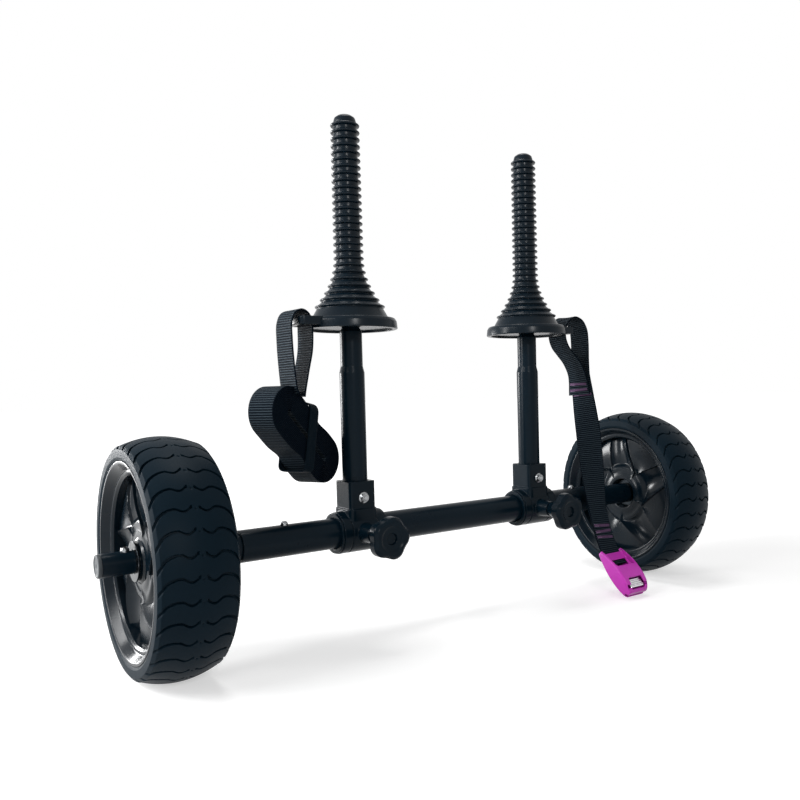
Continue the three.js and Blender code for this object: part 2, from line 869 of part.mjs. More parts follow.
// The bolt's head is at the back and its nut at the front.
function postBolt() {
  const face = block_depth / 2 + seat_gap;
  const head = rod('y', bolt_head_diameter / 2, face, face + bolt_head_height);
  const shank = rod('y', bolt_diameter / 2, -face - nut_height - bolt_tip_past_nut, face + seat_gap);
  const socket = rod('y', bolt_socket_width / 2, face + bolt_head_height - bolt_socket_depth,
    face + bolt_head_height + cut_overrun, nut_sides);
  const bolt = cut(join(head, shank), socket);
  bolt.translate(0, 0, bolt_height);
  return bolt;
}

function postNut() {
  const face = -block_depth / 2 - seat_gap;
  const hexagon = rod('y', nut_width / Math.sqrt(3), face - nut_height, face, nut_sides);
  const flange = rod('y', nut_flange_diameter / 2, face - nut_flange_thickness, face);
  const bore = rod('y', bolt_diameter / 2 + seat_gap, -block_depth, 0);
  const nut = cut(join(hexagon, flange), bore);
  nut.translate(0, 0, bolt_height);
  return nut;
}

// Scupper plugs, with the ear along +X

function ribRadius(rib) {
  const flare = Math.max(0, 1 - rib / flared_ribs) ** 2;
  const straight = waist_rib_radius + (top_rib_radius - waist_rib_radius) * rib / (rib_count - 1);
  return straight + flare_radius * flare;
}

function scupperPlug() {
  const bore = post_tip_diameter / 2 + seat_gap;
  const boreTop = post_in_plug + seat_gap;
  const last_rib_height = first_rib_height + rib_pitch * (rib_count - 1);
  const outline = [
    [0, boreTop],
    [bore, boreTop],
    [bore, flange_recess_depth],
    [flange_recess_radius, flange_recess_depth],
    [flange_recess_radius, 0],
    [flange_radius, 0],
    [flange_top_radius, flange_thickness],
    [cone_foot_radius, flange_thickness],
  ];
  for (let rib = 0; rib < rib_count; rib += 1) {
    const height = first_rib_height + rib * rib_pitch;
    const flare = Math.max(0, 1 - rib / flared_ribs);
    const undercut = rib_undercut + (flare_undercut - rib_undercut) * flare;
    outline.push([ribRadius(rib) - undercut, height - rib_edge]);
    outline.push([ribRadius(rib), height]);
  }
  for (const [share, rise] of dome_shares) {
    outline.push([dome_radius * share, last_rib_height + dome_height * rise]);
  }
  const cone = turnedZ(outline, plug_sides);

  const earStart = post_upper_diameter;
  const earShape = roundedRectangle(ear_reach - earStart, ear_width, ear_corner);
  const ear = prism(earShape, flange_recess_depth, flange_recess_depth + ear_thickness - seat_gap);
  ear.translate((ear_reach + earStart) / 2, 0, 0);
  const slot = box(
    [slot_inner, -slot_length / 2, -cut_overrun],
    [slot_inner + slot_width, slot_length / 2, flange_thickness + cut_overrun],
  );
  return cut(join(cone, ear), slot);
}

function postParts(name, side, x) {
  const group = new THREE.Group();
  group.position.set(x, 0, axle_height);
  cart.add(group);
  add(`${name}_bracket`, bracket(), black_plastic, group);
  add(`${name}_bracket_left_bush`, bracketBush(-1), black_plastic, group);
  add(`${name}_bracket_right_bush`, bracketBush(1), black_plastic, group);
  add(`${name}_clamp_insert`, clampInsert(), brass, group);
  add(`${name}_clamp_pad`, clampPad(), brass, group);
  add(`${name}_clamp_screw`, clampScrew(), steel, group);
  add(`${name}_clamp_knob`, clampKnob(), black_plastic, group);
  add(`${name}_post_tube`, postTube(), black_paint, group);
  add(`${name}_post_bolt`, postBolt(), steel, group);
  add(`${name}_post_nut`, postNut(), steel, group);
  const plug = add(`${name}_scupper_plug`, scupperPlug(), black_rubber, group);
  plug.position.z = flange_height;
  plug.rotation.z = side < 0 ? Math.PI : 0;
}

// Straps

// Routes: distance outboard from the post's axis, y, and height from the plug's flange.
const left_loop_route = [
  [87, 0, -68.7],
  [89, 0, -44.3],
  [90.5, 0, -14.3],
  [90, 0, 5.7],
  [85, 0, 17.2],
  [76.5, 0, 21.2],
  [68.5, 0, 17.7],
  [63.2, 0, 7.7],
  [62.8, 0, -5.3],
  [64, 0, -27.3],
  [69, 0, -51.3],
  [74, 0, -71.8],
];
const right_strap_route = [
  [96.5, -13, -90.3],
  [95, -12, -69.3],
  [92, -10, -53.3],
  [86, -7, -39.3],
  [77, -4, -27.3],
  [68, -1.5, -15.3],
  [63.6, -0.3, -2.3],
  [64, -0.3, 9.7],
  [69, -2, 21.7],
  [80, -6, 28.7],
  [92, -8, 23.7],
  [99.5, -10, 9.7],
  [101, -11, -9.3],
  [100.3, -12, -39.3],
  [99.6, -14, -64.3],
  [99.8, -17, -89.3],
  [101, -20, -114.3],
  [102, -25, -149.3],
  [101.5, -30, -184.3],
  [100, -36, -219.3],
  [98.5, -43, -254.3],
  [97, -52, -285.3],
  [95.8, -62, -309.3],
  [95.2, -67, -317.8],
  [95, -72.3, -327.1],
  [95, -76, -332.1],
  [95, -81.6, -337.8],
  [95, -88.6, -344.9],
];

function routePoints(route, x, side) {
  return route.map(([outboard, y, z]) => new THREE.Vector3(x + side * outboard, y, flange_z + z));
}

function leftLoop() {
  const across = new THREE.Vector3(0, 1, 0);
  const points = routePoints(left_loop_route, post_x_left, -1);
  return ribbon(points, left_loop_route.length * route_steps, () => across);
}

// The right strap turns through a quarter between the ear and the buckle.
const twist_top = -64.3; // from the plug's flange
const twist_bottom = -314.3;

function rightStrap() {
  const across = (share, middle) => {
    const down = THREE.MathUtils.clamp((flange_z + twist_top - middle.z) / (twist_top - twist_bottom), 0, 1);
    const angle = (down - 1) * Math.PI / 2;
    return new THREE.Vector3(Math.cos(angle), Math.sin(angle), 0);
  };
  const points = routePoints(right_strap_route, post_x_right, 1);
  return ribbon(points, right_strap_route.length * route_steps, across);
}

// The roll's outline lies in an upright plane; x runs towards the post along it.
const roll_along = new THREE.Vector2(Math.cos(roll_slope), -Math.sin(roll_slope));

function strapRoll() {
  const shape = new THREE.Shape();
  const lower = roll_along.clone().multiplyScalar(roll_lobe_spacing);
  const away = Math.PI / 2 - roll_slope;
  shape.absarc(0, 0, roll_radius, away, away + Math.PI);
  shape.absarc(lower.x, lower.y, roll_radius, away + Math.PI, away + 2 * Math.PI);
  const geometry = prism(shape, -webbing_width / 2, webbing_width / 2, roll_end_steps);
  geometry.rotateX(Math.PI / 2);
  geometry.translate(-roll_lobe_out, 0, 0);
  return geometry;
}

function strapKeeper() {
  const inner_width = webbing_width + 2 * seat_gap;
  const inner_height = 2 * (roll_radius + keeper_stand);
  const band = roundedRectangle(inner_width + 2 * keeper_thickness, inner_height + 2 * keeper_thickness,
    keeper_thickness * 2);
  const inside = roundedRectangle(inner_width, inner_height, keeper_thickness);
  band.holes.push(new THREE.Path(inside.getPoints(corner_steps)));
  const geometry = prism(band, -keeper_width / 2, keeper_width / 2, corner_steps);
  geometry.rotateX(Math.PI / 2);
  geometry.rotateZ(Math.PI / 2);
  geometry.rotateY(keeper_tilt);
  const middle = roll_along.clone().multiplyScalar(roll_lobe_spacing * keeper_along_share);
  geometry.translate(middle.x - roll_lobe_out, 0, middle.y);
  return geometry;
}

function strapParts() {
  add('left_strap_loop', leftLoop(), webbing);
  add('right_strap', rightStrap(), webbing);
  // The roll hangs from the loop's outer end.
  const [endOut, , endZ] = left_loop_route[0];
  const roll = new THREE.Group();
  roll.position.set(post_x_left - endOut, roll_depth, flange_z + endZ - roll_radius - 2 * seat_gap);
  roll.rotation.z = roll_turn;
  cart.add(roll);
  add('left_strap_roll', strapRoll(), webbing, roll);
  add('left_strap_keeper', strapKeeper(), webbing, roll);
}

// Buckle. X runs from the strap's entry to the nose, Y across, Z out of the face with the lever.

// Shares of the length, the half width, and the half thickness below and above the middle plane.
const cover_shares = [
  [0, 0.92, -0.5, 0.35],
  [0.12, 0.97, -0.66, 0.55],
  [0.3, 1, -0.85, 0.82],
  [0.5, 1, -1, 1],
  [0.72, 0.98, -1, 1],
  [0.88, 0.93, -0.95, 0.8],
  [0.97, 0.86, -0.85, 0.5],
  [1, 0.8, -0.7, 0.25],
];

function coverRing([along, wide, low, high]) {
  const height = (high - low) * buckle_thickness / 2;
  const middle = (high + low) * buckle_thickness / 4;
  const outline = roundedRectangle(wide * buckle_width, height, buckle_corner).getPoints(corner_steps);
  return outline.map((point) => new THREE.Vector3(along * buckle_length, point.x, point.y + middle));
}

function buckleCover() {
  const body = lofted(cover_shares.map(coverRing));
  const half = buckle_width / 2 - buckle_wall - seat_gap;
  const deckUnder = deck_height - deck_thickness;
  const channel = box([-cut_overrun, -half, deck_height], [deck_end, half, buckle_thickness]);
  const entry = box([-cut_overrun, -half, -cavity_floor], [deck_start, half, buckle_thickness]);
  const cavity = box([-cut_overrun, -half, -cavity_floor], [cavity_end, half, deckUnder]);
  const hood = box([deck_end + buckle_wall, -half, deckUnder - cut_overrun], [cavity_end, half, hood_roof]);
  const slotWindow = box(
    [slot_window_start, -slot_window_width / 2, -cut_overrun],
    [deck_end, slot_window_width / 2, buckle_thickness],
  );
  const leverWindow = box(
    [lever_window_start, -lever_window_width / 2, 0],
    [lever_window_end, lever_window_width / 2, buckle_thickness],
  );
  const mouth = box(
    [cavity_end - cut_overrun, -half, -cavity_floor],
    [buckle_length + cut_overrun, half, -cavity_floor + mouth_height],
  );
  return cut(body, entry, channel, cavity, hood, slotWindow, leverWindow, mouth);
}

const frame_half = buckle_width / 2 - buckle_wall - seat_gap * 2;
const frame_floor = -cavity_floor + seat_gap;

function buckleFrame() {
  const base = box(
    [frame_start, -frame_half, frame_floor],
    [frame_end, frame_half, frame_floor + frame_thickness],
  );
  const ear = (side) => {
    const edges = [side * frame_half, side * (frame_half - frame_thickness)].sort((a, b) => a - b);
    return box([frame_ear_start, edges[0], frame_floor], [frame_ear_end, edges[1], frame_ear_height]);
  };
  const hole = rod('y', pin_diameter / 2 + turn_gap, -buckle_width, buckle_width);
  hole.translate(pin_place, 0, 0);
  return cut(join(base, ear(-1), ear(1)), hole);
}

function camPin() {
  const pin = rod('y', pin_diameter / 2, -frame_half, frame_half);
  pin.translate(pin_place, 0, 0);
  return pin;
}

// The lever: an eccentric cam round the pin, and a thumb plate that shows in the window.
function camLever() {
  const start = -cam_width / 2 - spring_length / 2;
  const end = start + cam_width;
  const cam = rod('y', cam_radius, start, end);
  cam.translate(pin_place, 0, cam_offset);
  const plateTop = cam_offset + cam_radius - lever_drop / 2;
  const plate = box(
    [pin_place + pin_diameter, -lever_window_width / 2 + seat_gap * 2, plateTop - lever_thickness],
    [lever_tip - seat_gap * 3, lever_window_width / 2 - seat_gap * 2, plateTop],
  );
  const ridges = [];
  const first = lever_window_start + ridge_height;
  const spacing = (lever_tip - first - ridge_height) / ridge_count;
  for (let i = 0; i < ridge_count; i += 1) {
    const x = first + i * spacing;
    ridges.push(box(
      [x, -lever_window_width / 2 + seat_gap * 2, plateTop - ridge_height],
      [x + ridge_height, lever_window_width / 2 - seat_gap * 2, plateTop + ridge_height],
    ));
  }
  const bore = rod('y', pin_diameter / 2 + turn_gap, start - cut_overrun, end + cut_overrun);
  bore.translate(pin_place, 0, 0);
  return cut(join(cam, plate, ...ridges), bore);
}

function camSpring() {
  const start = cam_width / 2 - spring_length / 2 + seat_gap;
  const outer = rod('y', pin_diameter / 2 + turn_gap + spring_wall, start, start + spring_length - seat_gap);
  const boreEnd = start + spring_length + cut_overrun;
  const bore = rod('y', pin_diameter / 2 + turn_gap, start - cut_overrun, boreEnd);
  const coil = cut(outer, bore);
  coil.translate(pin_place, 0, 0);
  return coil;
}

function buckleParts() {
  const group = new THREE.Group();
  const along = new THREE.Vector3(0, -Math.sin(buckle_tilt), -Math.cos(buckle_tilt));
  const across = new THREE.Vector3(1, 0, 0);
  const out = new THREE.Vector3().crossVectors(along, across);
  group.setRotationFromMatrix(new THREE.Matrix4().makeBasis(along, across, out));
  // The buckle hangs from the strap's end.
  const [strapEnd] = routePoints(right_strap_route.slice(-1), post_x_right, 1);
  group.position.copy(strapEnd).addScaledVector(along, -strap_in_buckle).addScaledVector(out, strap_below_middle);
  cart.add(group);
  add('buckle_cover', buckleCover(), magenta_plastic, group);
  add('buckle_frame', buckleFrame(), steel, group);
  add('buckle_cam_pin', camPin(), steel, group);
  add('buckle_cam_lever', camLever(), steel, group);
  add('buckle_cam_spring', camSpring(), steel, group);
}

const crossbar = add('crossbar_tube', crossbarTube(), black_paint);
crossbar.position.z = axle_height;
for (const [name, side, x] of [['left', -1, post_x_left], ['right', 1, post_x_right]]) {
  axleParts(name, side);
  wheelParts(name, side);
  postParts(name, side, x);
}
strapParts();
buckleParts();

export default cart;
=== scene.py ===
# %% [markdown]
# # A kayak cart, dressed
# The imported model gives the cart's real size and tells us which pieces move together. It stays where it is.
# Around it we build finer pieces with the details that a camera sees: tread, ribs, woven straps and rounded
# edges. Each fine piece rides on the same body as the plain piece that it stands for.

# %% Load the frame and measure it
import math
import bmesh
import bpy
import numpy as np
from mathutils import Matrix, Vector


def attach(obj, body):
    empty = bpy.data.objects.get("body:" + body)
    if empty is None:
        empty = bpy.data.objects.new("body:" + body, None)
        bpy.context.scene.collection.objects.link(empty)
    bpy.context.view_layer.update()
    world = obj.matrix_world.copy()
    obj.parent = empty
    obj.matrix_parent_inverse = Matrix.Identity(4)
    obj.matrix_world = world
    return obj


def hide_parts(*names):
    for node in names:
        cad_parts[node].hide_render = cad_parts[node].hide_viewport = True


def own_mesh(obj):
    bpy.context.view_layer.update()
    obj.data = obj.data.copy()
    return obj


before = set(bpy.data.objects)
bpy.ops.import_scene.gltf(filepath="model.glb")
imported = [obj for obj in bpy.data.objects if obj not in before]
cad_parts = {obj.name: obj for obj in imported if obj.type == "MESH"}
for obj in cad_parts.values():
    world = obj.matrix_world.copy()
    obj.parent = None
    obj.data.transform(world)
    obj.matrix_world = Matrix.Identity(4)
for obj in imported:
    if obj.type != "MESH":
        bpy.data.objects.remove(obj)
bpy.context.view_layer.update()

# %% [markdown]
# ## Camera
# A photograph of a long, low object gives the camera away: the two wheels show how far it stood and how much
# it looked to the side. The lens is a short one, so the near wheel is clearly larger than the far one. The
# two shift values slide the picture inside its frame and leave the perspective alone.

# %% Camera
def aim(yaw, pitch, roll):
    """The camera's axes, for angles in degrees to the right, down and round the line of sight."""
    a, b, c = (math.radians(v) for v in (yaw, pitch, roll))
    ahead = Vector((math.sin(a) * math.cos(b), math.cos(a) * math.cos(b), -math.sin(b)))
    right = Vector((math.cos(a), -math.sin(a), 0))
    up = right.cross(ahead)
    return Matrix((right * math.cos(c) + up * math.sin(c), up * math.cos(c) - right * math.sin(c), -ahead))

STANDS_AT = (-0.6394, -0.8893, 0.3059)
YAW, DOWN, ROLL = 37.25, 2.34, -1.35
camera_data = bpy.data.cameras.new("camera")
camera_data.sensor_width = 36
camera_data.lens = 35.594
camera_data.shift_x = -0.0822
camera_data.shift_y = 0.0317
camera_data.clip_start = 0.02
camera = bpy.data.objects.new("camera", camera_data)
bpy.context.collection.objects.link(camera)
camera.matrix_world = Matrix.Translation(STANDS_AT) @ aim(YAW, DOWN, ROLL).transposed().to_4x4()
bpy.context.scene.camera = camera
print("camera stands at", tuple(camera.location))

# %% [markdown]
# ## Sizes
# All pieces are written in millimetres, as a maker would write them, and turned into metres at the very end.
# The values are the ones that the plain model was made from.

# %% Sizes shared by several pieces
MM = 0.001
RADIUS = 133.35  # of a tyre, and so the height of the axle
AXLE_Z = RADIUS
WHEEL_X = 385.0  # from the cart's middle to a tyre's middle
SIDES = {"left": -1, "right": 1}
POST_X = {"left": -143.0, "right": 155.0}
BOLT_Z = 44.0  # of a cross bolt above the axle
FLANGE_Z = 389.3
WEBBING = 38.0  # the width of the straps
print("axle at", AXLE_Z, "mm, posts at", POST_X)

# %% [markdown]
# ## From points to pieces
# Most pieces are made the same way: a grid of points is laid over the shape, and neighbouring points are
# joined by four-sided faces. A helper turns such a grid into a mesh, welds points that fall together, makes
# the faces look outwards and marks only the sharp edges as sharp, so that round parts shade smoothly.

# %% Meshes from grids
def grid_faces(rows, columns, wrap_rows, wrap_columns):
    """Four-sided faces over a grid of points, joined round where it wraps."""
    r = np.arange(rows if wrap_rows else rows - 1)
    c = np.arange(columns if wrap_columns else columns - 1)
    r, c = np.meshgrid(r, c, indexing="ij")
    r2, c2 = (r + 1) % rows, (c + 1) % columns
    corners = np.stack([r * columns + c, r * columns + c2, r2 * columns + c2, r2 * columns + c], -1)
    return corners.reshape(-1, 4)

def capped_faces(rows, columns):
    """The faces of a row of rings, with one face that closes either end."""
    last = (rows - 1) * columns
    ends = [list(range(columns))[::-1], list(range(last, last + columns))]
    return grid_faces(rows, columns, False, True).tolist() + ends

def mesh_of(name, points, faces, sharp=40, weld=True):
    """A mesh from points in millimetres."""
    mesh = bpy.data.meshes.new(name)
    mesh.from_pydata((np.asarray(points).reshape(-1, 3) * MM).tolist(), [],
                     [list(map(int, f)) for f in faces])
    if weld:
        work = bmesh.new()
        work.from_mesh(mesh)
        bmesh.ops.remove_doubles(work, verts=work.verts, dist=2e-6)
        bmesh.ops.recalc_face_normals(work, faces=work.faces)
        work.to_mesh(mesh)
        work.free()
    mesh.shade_smooth()
    mesh.set_sharp_from_angle(angle=math.radians(sharp))
    return mesh

def grid_mesh(name, grid, wrap_rows=True, wrap_columns=True, sharp=40):
    """A mesh over a grid of points, closed in each direction that wraps."""
    rows, columns = grid.shape[:2]
    return mesh_of(name, grid, grid_faces(rows, columns, wrap_rows, wrap_columns), sharp)

# %% [markdown]
# ## Turned shapes
# Tubes, washers, plugs and buttons are round, so one outline is enough: it is swept round an axis, as on a
# lathe. No real edge is perfectly sharp, and a tiny round catches a line of light, so every corner of an
# outline can carry its own radius.

# %% Outlines with rounded corners, swept round an axis
def rounded(corners, closed=False, steps=5):
    """An outline from rows of (along, out, radius): each corner with a radius becomes a small arc."""
    result = []
    count = len(corners)
    for i, corner in enumerate(corners):
        point = np.array(corner[:2], float)
        radius = corner[2] if len(corner) > 2 else 0
        if radius <= 0 or (not closed and i in (0, count - 1)):
            result.append(point)
            continue
        back = np.array(corners[i - 1][:2], float) - point
        on = np.array(corners[(i + 1) % count][:2], float) - point
        reach_back, reach_on = np.linalg.norm(back), np.linalg.norm(on)
        bend = math.acos(np.clip(back @ on / (reach_back * reach_on), -1, 1))
        reach = min(radius / max(math.tan(bend / 2), 1e-6), reach_back * 0.49, reach_on * 0.49)
        start, end = point + back / reach_back * reach, point + on / reach_on * reach
        for step in range(steps + 1):
            t = step / steps
            result.append((1 - t) ** 2 * start + 2 * t * (1 - t) * point + t ** 2 * end)
    return np.array(result)

def swept_round(outline, steps, axis):
    """A grid of points: the outline of (along, out) turned round the X, Y or Z axis."""
    along, out = outline[:, 0], outline[:, 1]
    turn = np.linspace(0, 2 * np.pi, steps, endpoint=False)[:, None]
    first, second = out * np.cos(turn), out * np.sin(turn)
    line = np.broadcast_to(along, first.shape)
    order = {"X": (line, first, second), "Y": (second, line, first), "Z": (first, second, line)}[axis]
    return np.stack(order, -1)

def turned(name, corners, axis, steps=96, closed=True, sharp=40):
    """A round mesh from an outline with rounded corners. An outline that is not closed ends on the axis."""
    outline = rounded(corners, closed)
    return grid_mesh(name, swept_round(outline, steps, axis), True, closed, sharp)

def turned_solid(name, corners, axis, steps=64, sharp=40):
    """A round mesh without a bore: its outline starts and ends on the axis."""
    return turned(name, corners, axis, steps, False, sharp)

# %% [markdown]
# ## Pieces and the bodies that they ride on
# A finished piece is a mesh with a material, set down in the frame, that rides on one of the cart's bodies.
# The left and the right half share their meshes, so an identical part is built once and set down twice. A row
# says what such a part is: its name, mesh, finish, body, its two places, and the plain piece it stands for.

# %% Setting pieces down
finishes = {}

def set_down(name, mesh, finish, body, place=Matrix(), stands_for=()):
    """A piece of the cart: a mesh with a finish, at its place in millimetres, on its body."""
    piece = bpy.data.objects.new(name, mesh)
    bpy.context.collection.objects.link(piece)
    move = place.copy()
    move.translation = place.translation * MM
    piece.matrix_world = move
    mesh.materials.clear()
    mesh.materials.append(finishes[finish])
    bpy.context.view_layer.update()
    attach(piece, body)
    if stands_for:
        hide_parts(*stands_for)
    return piece

def at(x=0, y=0, z=0):
    return Matrix.Translation((x, y, z))

def half_turn(side):
    """The left half of the cart is the right half turned round, so that +X looks outwards on either side."""
    return Matrix.Rotation(math.pi, 4, "Z") if side == "left" else Matrix()

def along_axle(x):
    """The two places on the axle line that lie x outwards from the cart's middle."""
    return {side: at(SIDES[side] * x, 0, AXLE_Z) @ half_turn(side) for side in SIDES}

def up_post(height):
    """The two places on the posts' own lines at a height above the axle."""
    return {side: at(POST_X[side], 0, AXLE_Z + height) for side in SIDES}

on_axle, in_wheel, on_post = along_axle(0), along_axle(WHEEL_X), up_post(0)

def set_down_both(*rows):
    """Pieces of the left and the right half: rows of (name, mesh, finish, body, places, node, slot); slot is
    not used.
    """
    for side in SIDES:
        for name, mesh, finish, body, places, node, slot in rows:
            rides_on = body if body == "crossbar" else f"{side}_{body}"
            stands_for = [f"{side}_{node}"] if node else []
            set_down(f"{side}_{name}", mesh, finish, rides_on, places[side], stands_for)

# %% [markdown]
# ## Finishes
# Nothing on the cart is one flat colour. Moulded plastic has a fine grain, painted tube a faint orange-peel
# skin, rubber is mottled and dusty. These effects repeat, so each is built once as a node group with named
# inputs, and every material sets its own values. The groups hand out heights and masks that change over the
# surface. The shader itself, and every value that is the same all over, stays in the material.

# %% Node helpers
def new_group(name, inputs, outputs):
    """An empty shader group with number inputs and the given outputs."""
    group = bpy.data.node_groups.new(name, "ShaderNodeTree")
    for label, value in inputs:
        group.interface.new_socket(name=label, in_out="INPUT",
                                   socket_type="NodeSocketFloat").default_value = value
    for label in outputs:
        group.interface.new_socket(name=label, in_out="OUTPUT", socket_type="NodeSocketFloat")
    nodes = group.nodes
    return group, nodes.new("NodeGroupInput"), nodes.new("NodeGroupOutput")

def feed(tree, node, **values):
    """Give inputs their values: a number, a colour of three numbers or another node's output."""
    for label, value in values.items():
        socket = node.inputs[label.replace("_", " ")]
        if isinstance(value, bpy.types.NodeSocket):
            tree.links.new(value, socket)
        else:
            socket.default_value = (*value, 1) if isinstance(value, tuple) else value

def add_node(tree, kind, **values):
    """A new node with values for its inputs."""
    node = tree.nodes.new("ShaderNode" + kind)
    feed(tree, node, **values)
    return node

def maths(tree, operation, *values):
    """One Math node; its inputs are outputs of other nodes or numbers."""
    node = add_node(tree, "Math")
    node.operation = operation
    for socket, value in zip(node.inputs, values):
        if isinstance(value, bpy.types.NodeSocket):
            tree.links.new(value, socket)
        else:
            socket.default_value = value
    return node.outputs[0]

def noise(tree, vector, scale, detail=4.0, rough=0.55):
    """Cloudy values between 0 and 1."""
    return add_node(tree, "TexNoise", Detail=detail, Roughness=rough, Scale=scale,
                    Vector=vector).outputs["Fac"]

# %% The skin group: fine grain, broad patches and rubbed edges
skin, skin_in, skin_out = new_group(
    "skin", [("Grain Size", 900.0), ("Patch Size", 30.0), ("Wear", 0.3)], ["Height", "Patches", "Edges"])
FLAT_POINTINESS, EDGE_GAIN = 0.53, 14.0
where = add_node(skin, "TexCoord").outputs["Object"]
fine = noise(skin, where, skin_in.outputs["Grain Size"], 3.0, 0.6)
broad = noise(skin, where, skin_in.outputs["Patch Size"], 5.0, 0.6)
raised = maths(skin, "SUBTRACT", add_node(skin, "NewGeometry").outputs["Pointiness"], FLAT_POINTINESS)
raised = maths(skin, "MULTIPLY", raised, EDGE_GAIN)
broken = maths(skin, "MULTIPLY", raised, noise(skin, where, 160.0, 3.0, 0.7))
edges = maths(skin, "MULTIPLY", broken, skin_in.outputs["Wear"])
feed(skin, skin_out, Height=fine, Patches=broad, Edges=add_node(skin, "Clamp", Value=edges).outputs[0])
print("skin group:", len(skin.nodes), "nodes")

# %% [markdown]
# A material is made in a few lines from that group: two colours mixed by the broad patches, a third where the
# edges are rubbed, a roughness that drifts a little, and a bump for the grain.

# %% Materials from the skin group
def ramp_between(tree, mask, low, high):
    """A number that follows a mask between two values."""
    return add_node(tree, "MapRange", Value=mask, To_Min=low, To_Max=high).outputs["Result"]

def mixed(tree, mask, first, second):
    """A colour between two others; each is another node's output or three numbers."""
    node = add_node(tree, "Mix")
    node.data_type = "RGBA"
    tree.links.new(mask, node.inputs[0])
    for socket, value in zip(node.inputs[6:8], (first, second)):
        if isinstance(value, tuple):
            socket.default_value = (*value, 1)
        else:
            tree.links.new(value, socket)
    return node.outputs[2]

def bump(tree, height, depth, distance):
    """A surface normal tilted by a height."""
    return add_node(tree, "Bump", Strength=depth, Distance=distance, Height=height).outputs["Normal"]

def new_material(name):
    """A new finish under its name: its node tree and its shader."""
    material = bpy.data.materials.new(name)
    material.use_nodes = True
    shader = material.node_tree.nodes["Principled BSDF"]
    finishes[name] = material
    return material.node_tree, shader

def add_group(tree, group, **values):
    """A shared group placed in a material, with the material's own values."""
    node = add_node(tree, "Group")
    node.node_tree = group
    feed(tree, node, **values)
    return node

def skinned(name, dark, light, worn, roughness, grain, patch, wear, depth, metal=0.0, specular=0.5):
    """A finish from the skin group: two body colours, one for rubbed edges, and a range of roughness."""
    tree, shader = new_material(name)
    group = add_group(tree, skin, Grain_Size=grain, Patch_Size=patch, Wear=wear)
    patches = group.outputs["Patches"]
    feed(tree, shader, Metallic=metal, Specular_IOR_Level=specular,
         Base_Color=mixed(tree, group.outputs["Edges"], mixed(tree, patches, dark, light), worn),
         Roughness=ramp_between(tree, patches, *roughness),
         Normal=bump(tree, group.outputs["Height"], depth, 0.0004))

skinned("tube paint", (0.0010, 0.0052, 0.0098), (0.0022, 0.0084, 0.0142), (0.02, 0.026, 0.03), (0.24, 0.33),
        grain=1100, patch=22, wear=0.2, depth=0.04, specular=0.08)
skinned("moulded plastic", (0.0010, 0.0050, 0.0094), (0.0020, 0.0078, 0.0130), (0.02, 0.026, 0.03),
        (0.20, 0.28), grain=1500, patch=35, wear=0.2, depth=0.03, specular=0.075)
skinned("rim plastic", (0.0009, 0.0038, 0.0070), (0.0018, 0.0058, 0.0098), (0.02, 0.026, 0.03), (0.17, 0.27),
        grain=240, patch=18, wear=0.12, depth=0.02, specular=0.15)
skinned("tyre rubber", (0.0010, 0.0056, 0.0100), (0.0024, 0.0088, 0.0150), (0.02, 0.03, 0.035), (0.40, 0.54),
        grain=1300, patch=26, wear=0.3, depth=0.2, specular=0.05)
skinned("plug rubber", (0.0011, 0.0048, 0.0090), (0.0022, 0.0076, 0.0128), (0.02, 0.03, 0.035), (0.22, 0.32),
        grain=1700, patch=40, wear=0.25, depth=0.015, specular=0.13)
skinned("grey cap plastic", (0.030, 0.036, 0.041), (0.050, 0.057, 0.063), (0.22, 0.23, 0.24), (0.4, 0.55),
        grain=1500, patch=60, wear=0.3, depth=0.2, specular=0.3)
skinned("buckle plastic", (0.47, 0.026, 0.39), (0.57, 0.040, 0.47), (0.62, 0.12, 0.54), (0.24, 0.34),
        grain=1400, patch=45, wear=0.4, depth=0.10, specular=0.3)
skinned("stainless steel", (0.20, 0.21, 0.22), (0.32, 0.33, 0.34), (0.55, 0.55, 0.56), (0.16, 0.28),
        grain=700, patch=120, wear=0.5, depth=0.05, metal=1.0)
skinned("dull washer steel", (0.016, 0.020, 0.024), (0.03, 0.035, 0.04), (0.30, 0.31, 0.32), (0.22, 0.32),
        grain=700, patch=120, wear=0.5, depth=0.05, metal=1.0)
skinned("chromed lever", (0.58, 0.58, 0.60), (0.70, 0.70, 0.72), (0.85, 0.85, 0.86), (0.08, 0.16),
        grain=500, patch=90, wear=0.4, depth=0.03, metal=1.0)
skinned("turned brass", (0.42, 0.28, 0.10), (0.55, 0.38, 0.16), (0.7, 0.52, 0.25), (0.25, 0.38),
        grain=900, patch=90, wear=0.4, depth=0.06, metal=1.0)
print("finishes so far:", ", ".join(finishes))

# %% [markdown]
# ## Webbing
# Strap webbing is woven across its length in tight ridges about three millimetres apart, with finer yarns
# along it. The ribbon carries its own measure: U counts millimetres across and V millimetres along, so the
# weave keeps its true scale and bends with the strap. Its colour carries painted light: a painted highlight
# on each ridge's crest and painted shade between the ridges. The ridges and their painted highlight stop at
# the selvedge, the plain bound edge, so the side of a roll is smooth and dark.

# %% The weave group and the strap finishes
SELVEDGE = 17.9  # where the ridges end, from the strap's middle line
weave, weave_in, weave_out = new_group(
    "weave", [("Ridge Pitch", 3.03), ("Yarn Pitch", 0.85)], ["Height", "Shade", "Fluff"])
measure = add_node(weave, "UVMap")
measure.uv_map = "cloth"
measure = measure.outputs["UV"]
across, along = add_node(weave, "SeparateXYZ", Vector=measure).outputs[:2]
wander = maths(weave, "MULTIPLY", noise(weave, measure, 0.25, 2.0), 0.5)
ridge_phase = maths(weave, "DIVIDE", maths(weave, "ADD", along, wander), weave_in.outputs["Ridge Pitch"])
ridge = maths(weave, "ABSOLUTE", maths(weave, "SINE", maths(weave, "MULTIPLY", ridge_phase, math.pi)))
# The ridges' bump and their painted crest highlight both stop at the selvedge.
on_the_face = maths(weave, "LESS_THAN", maths(weave, "ABSOLUTE", across), SELVEDGE)
# Painted highlight: each ridge's crest gets a lighter colour, where light would catch it.
painted_crest_light = maths(weave, "MULTIPLY", maths(weave, "POWER", ridge, 8.0), on_the_face)
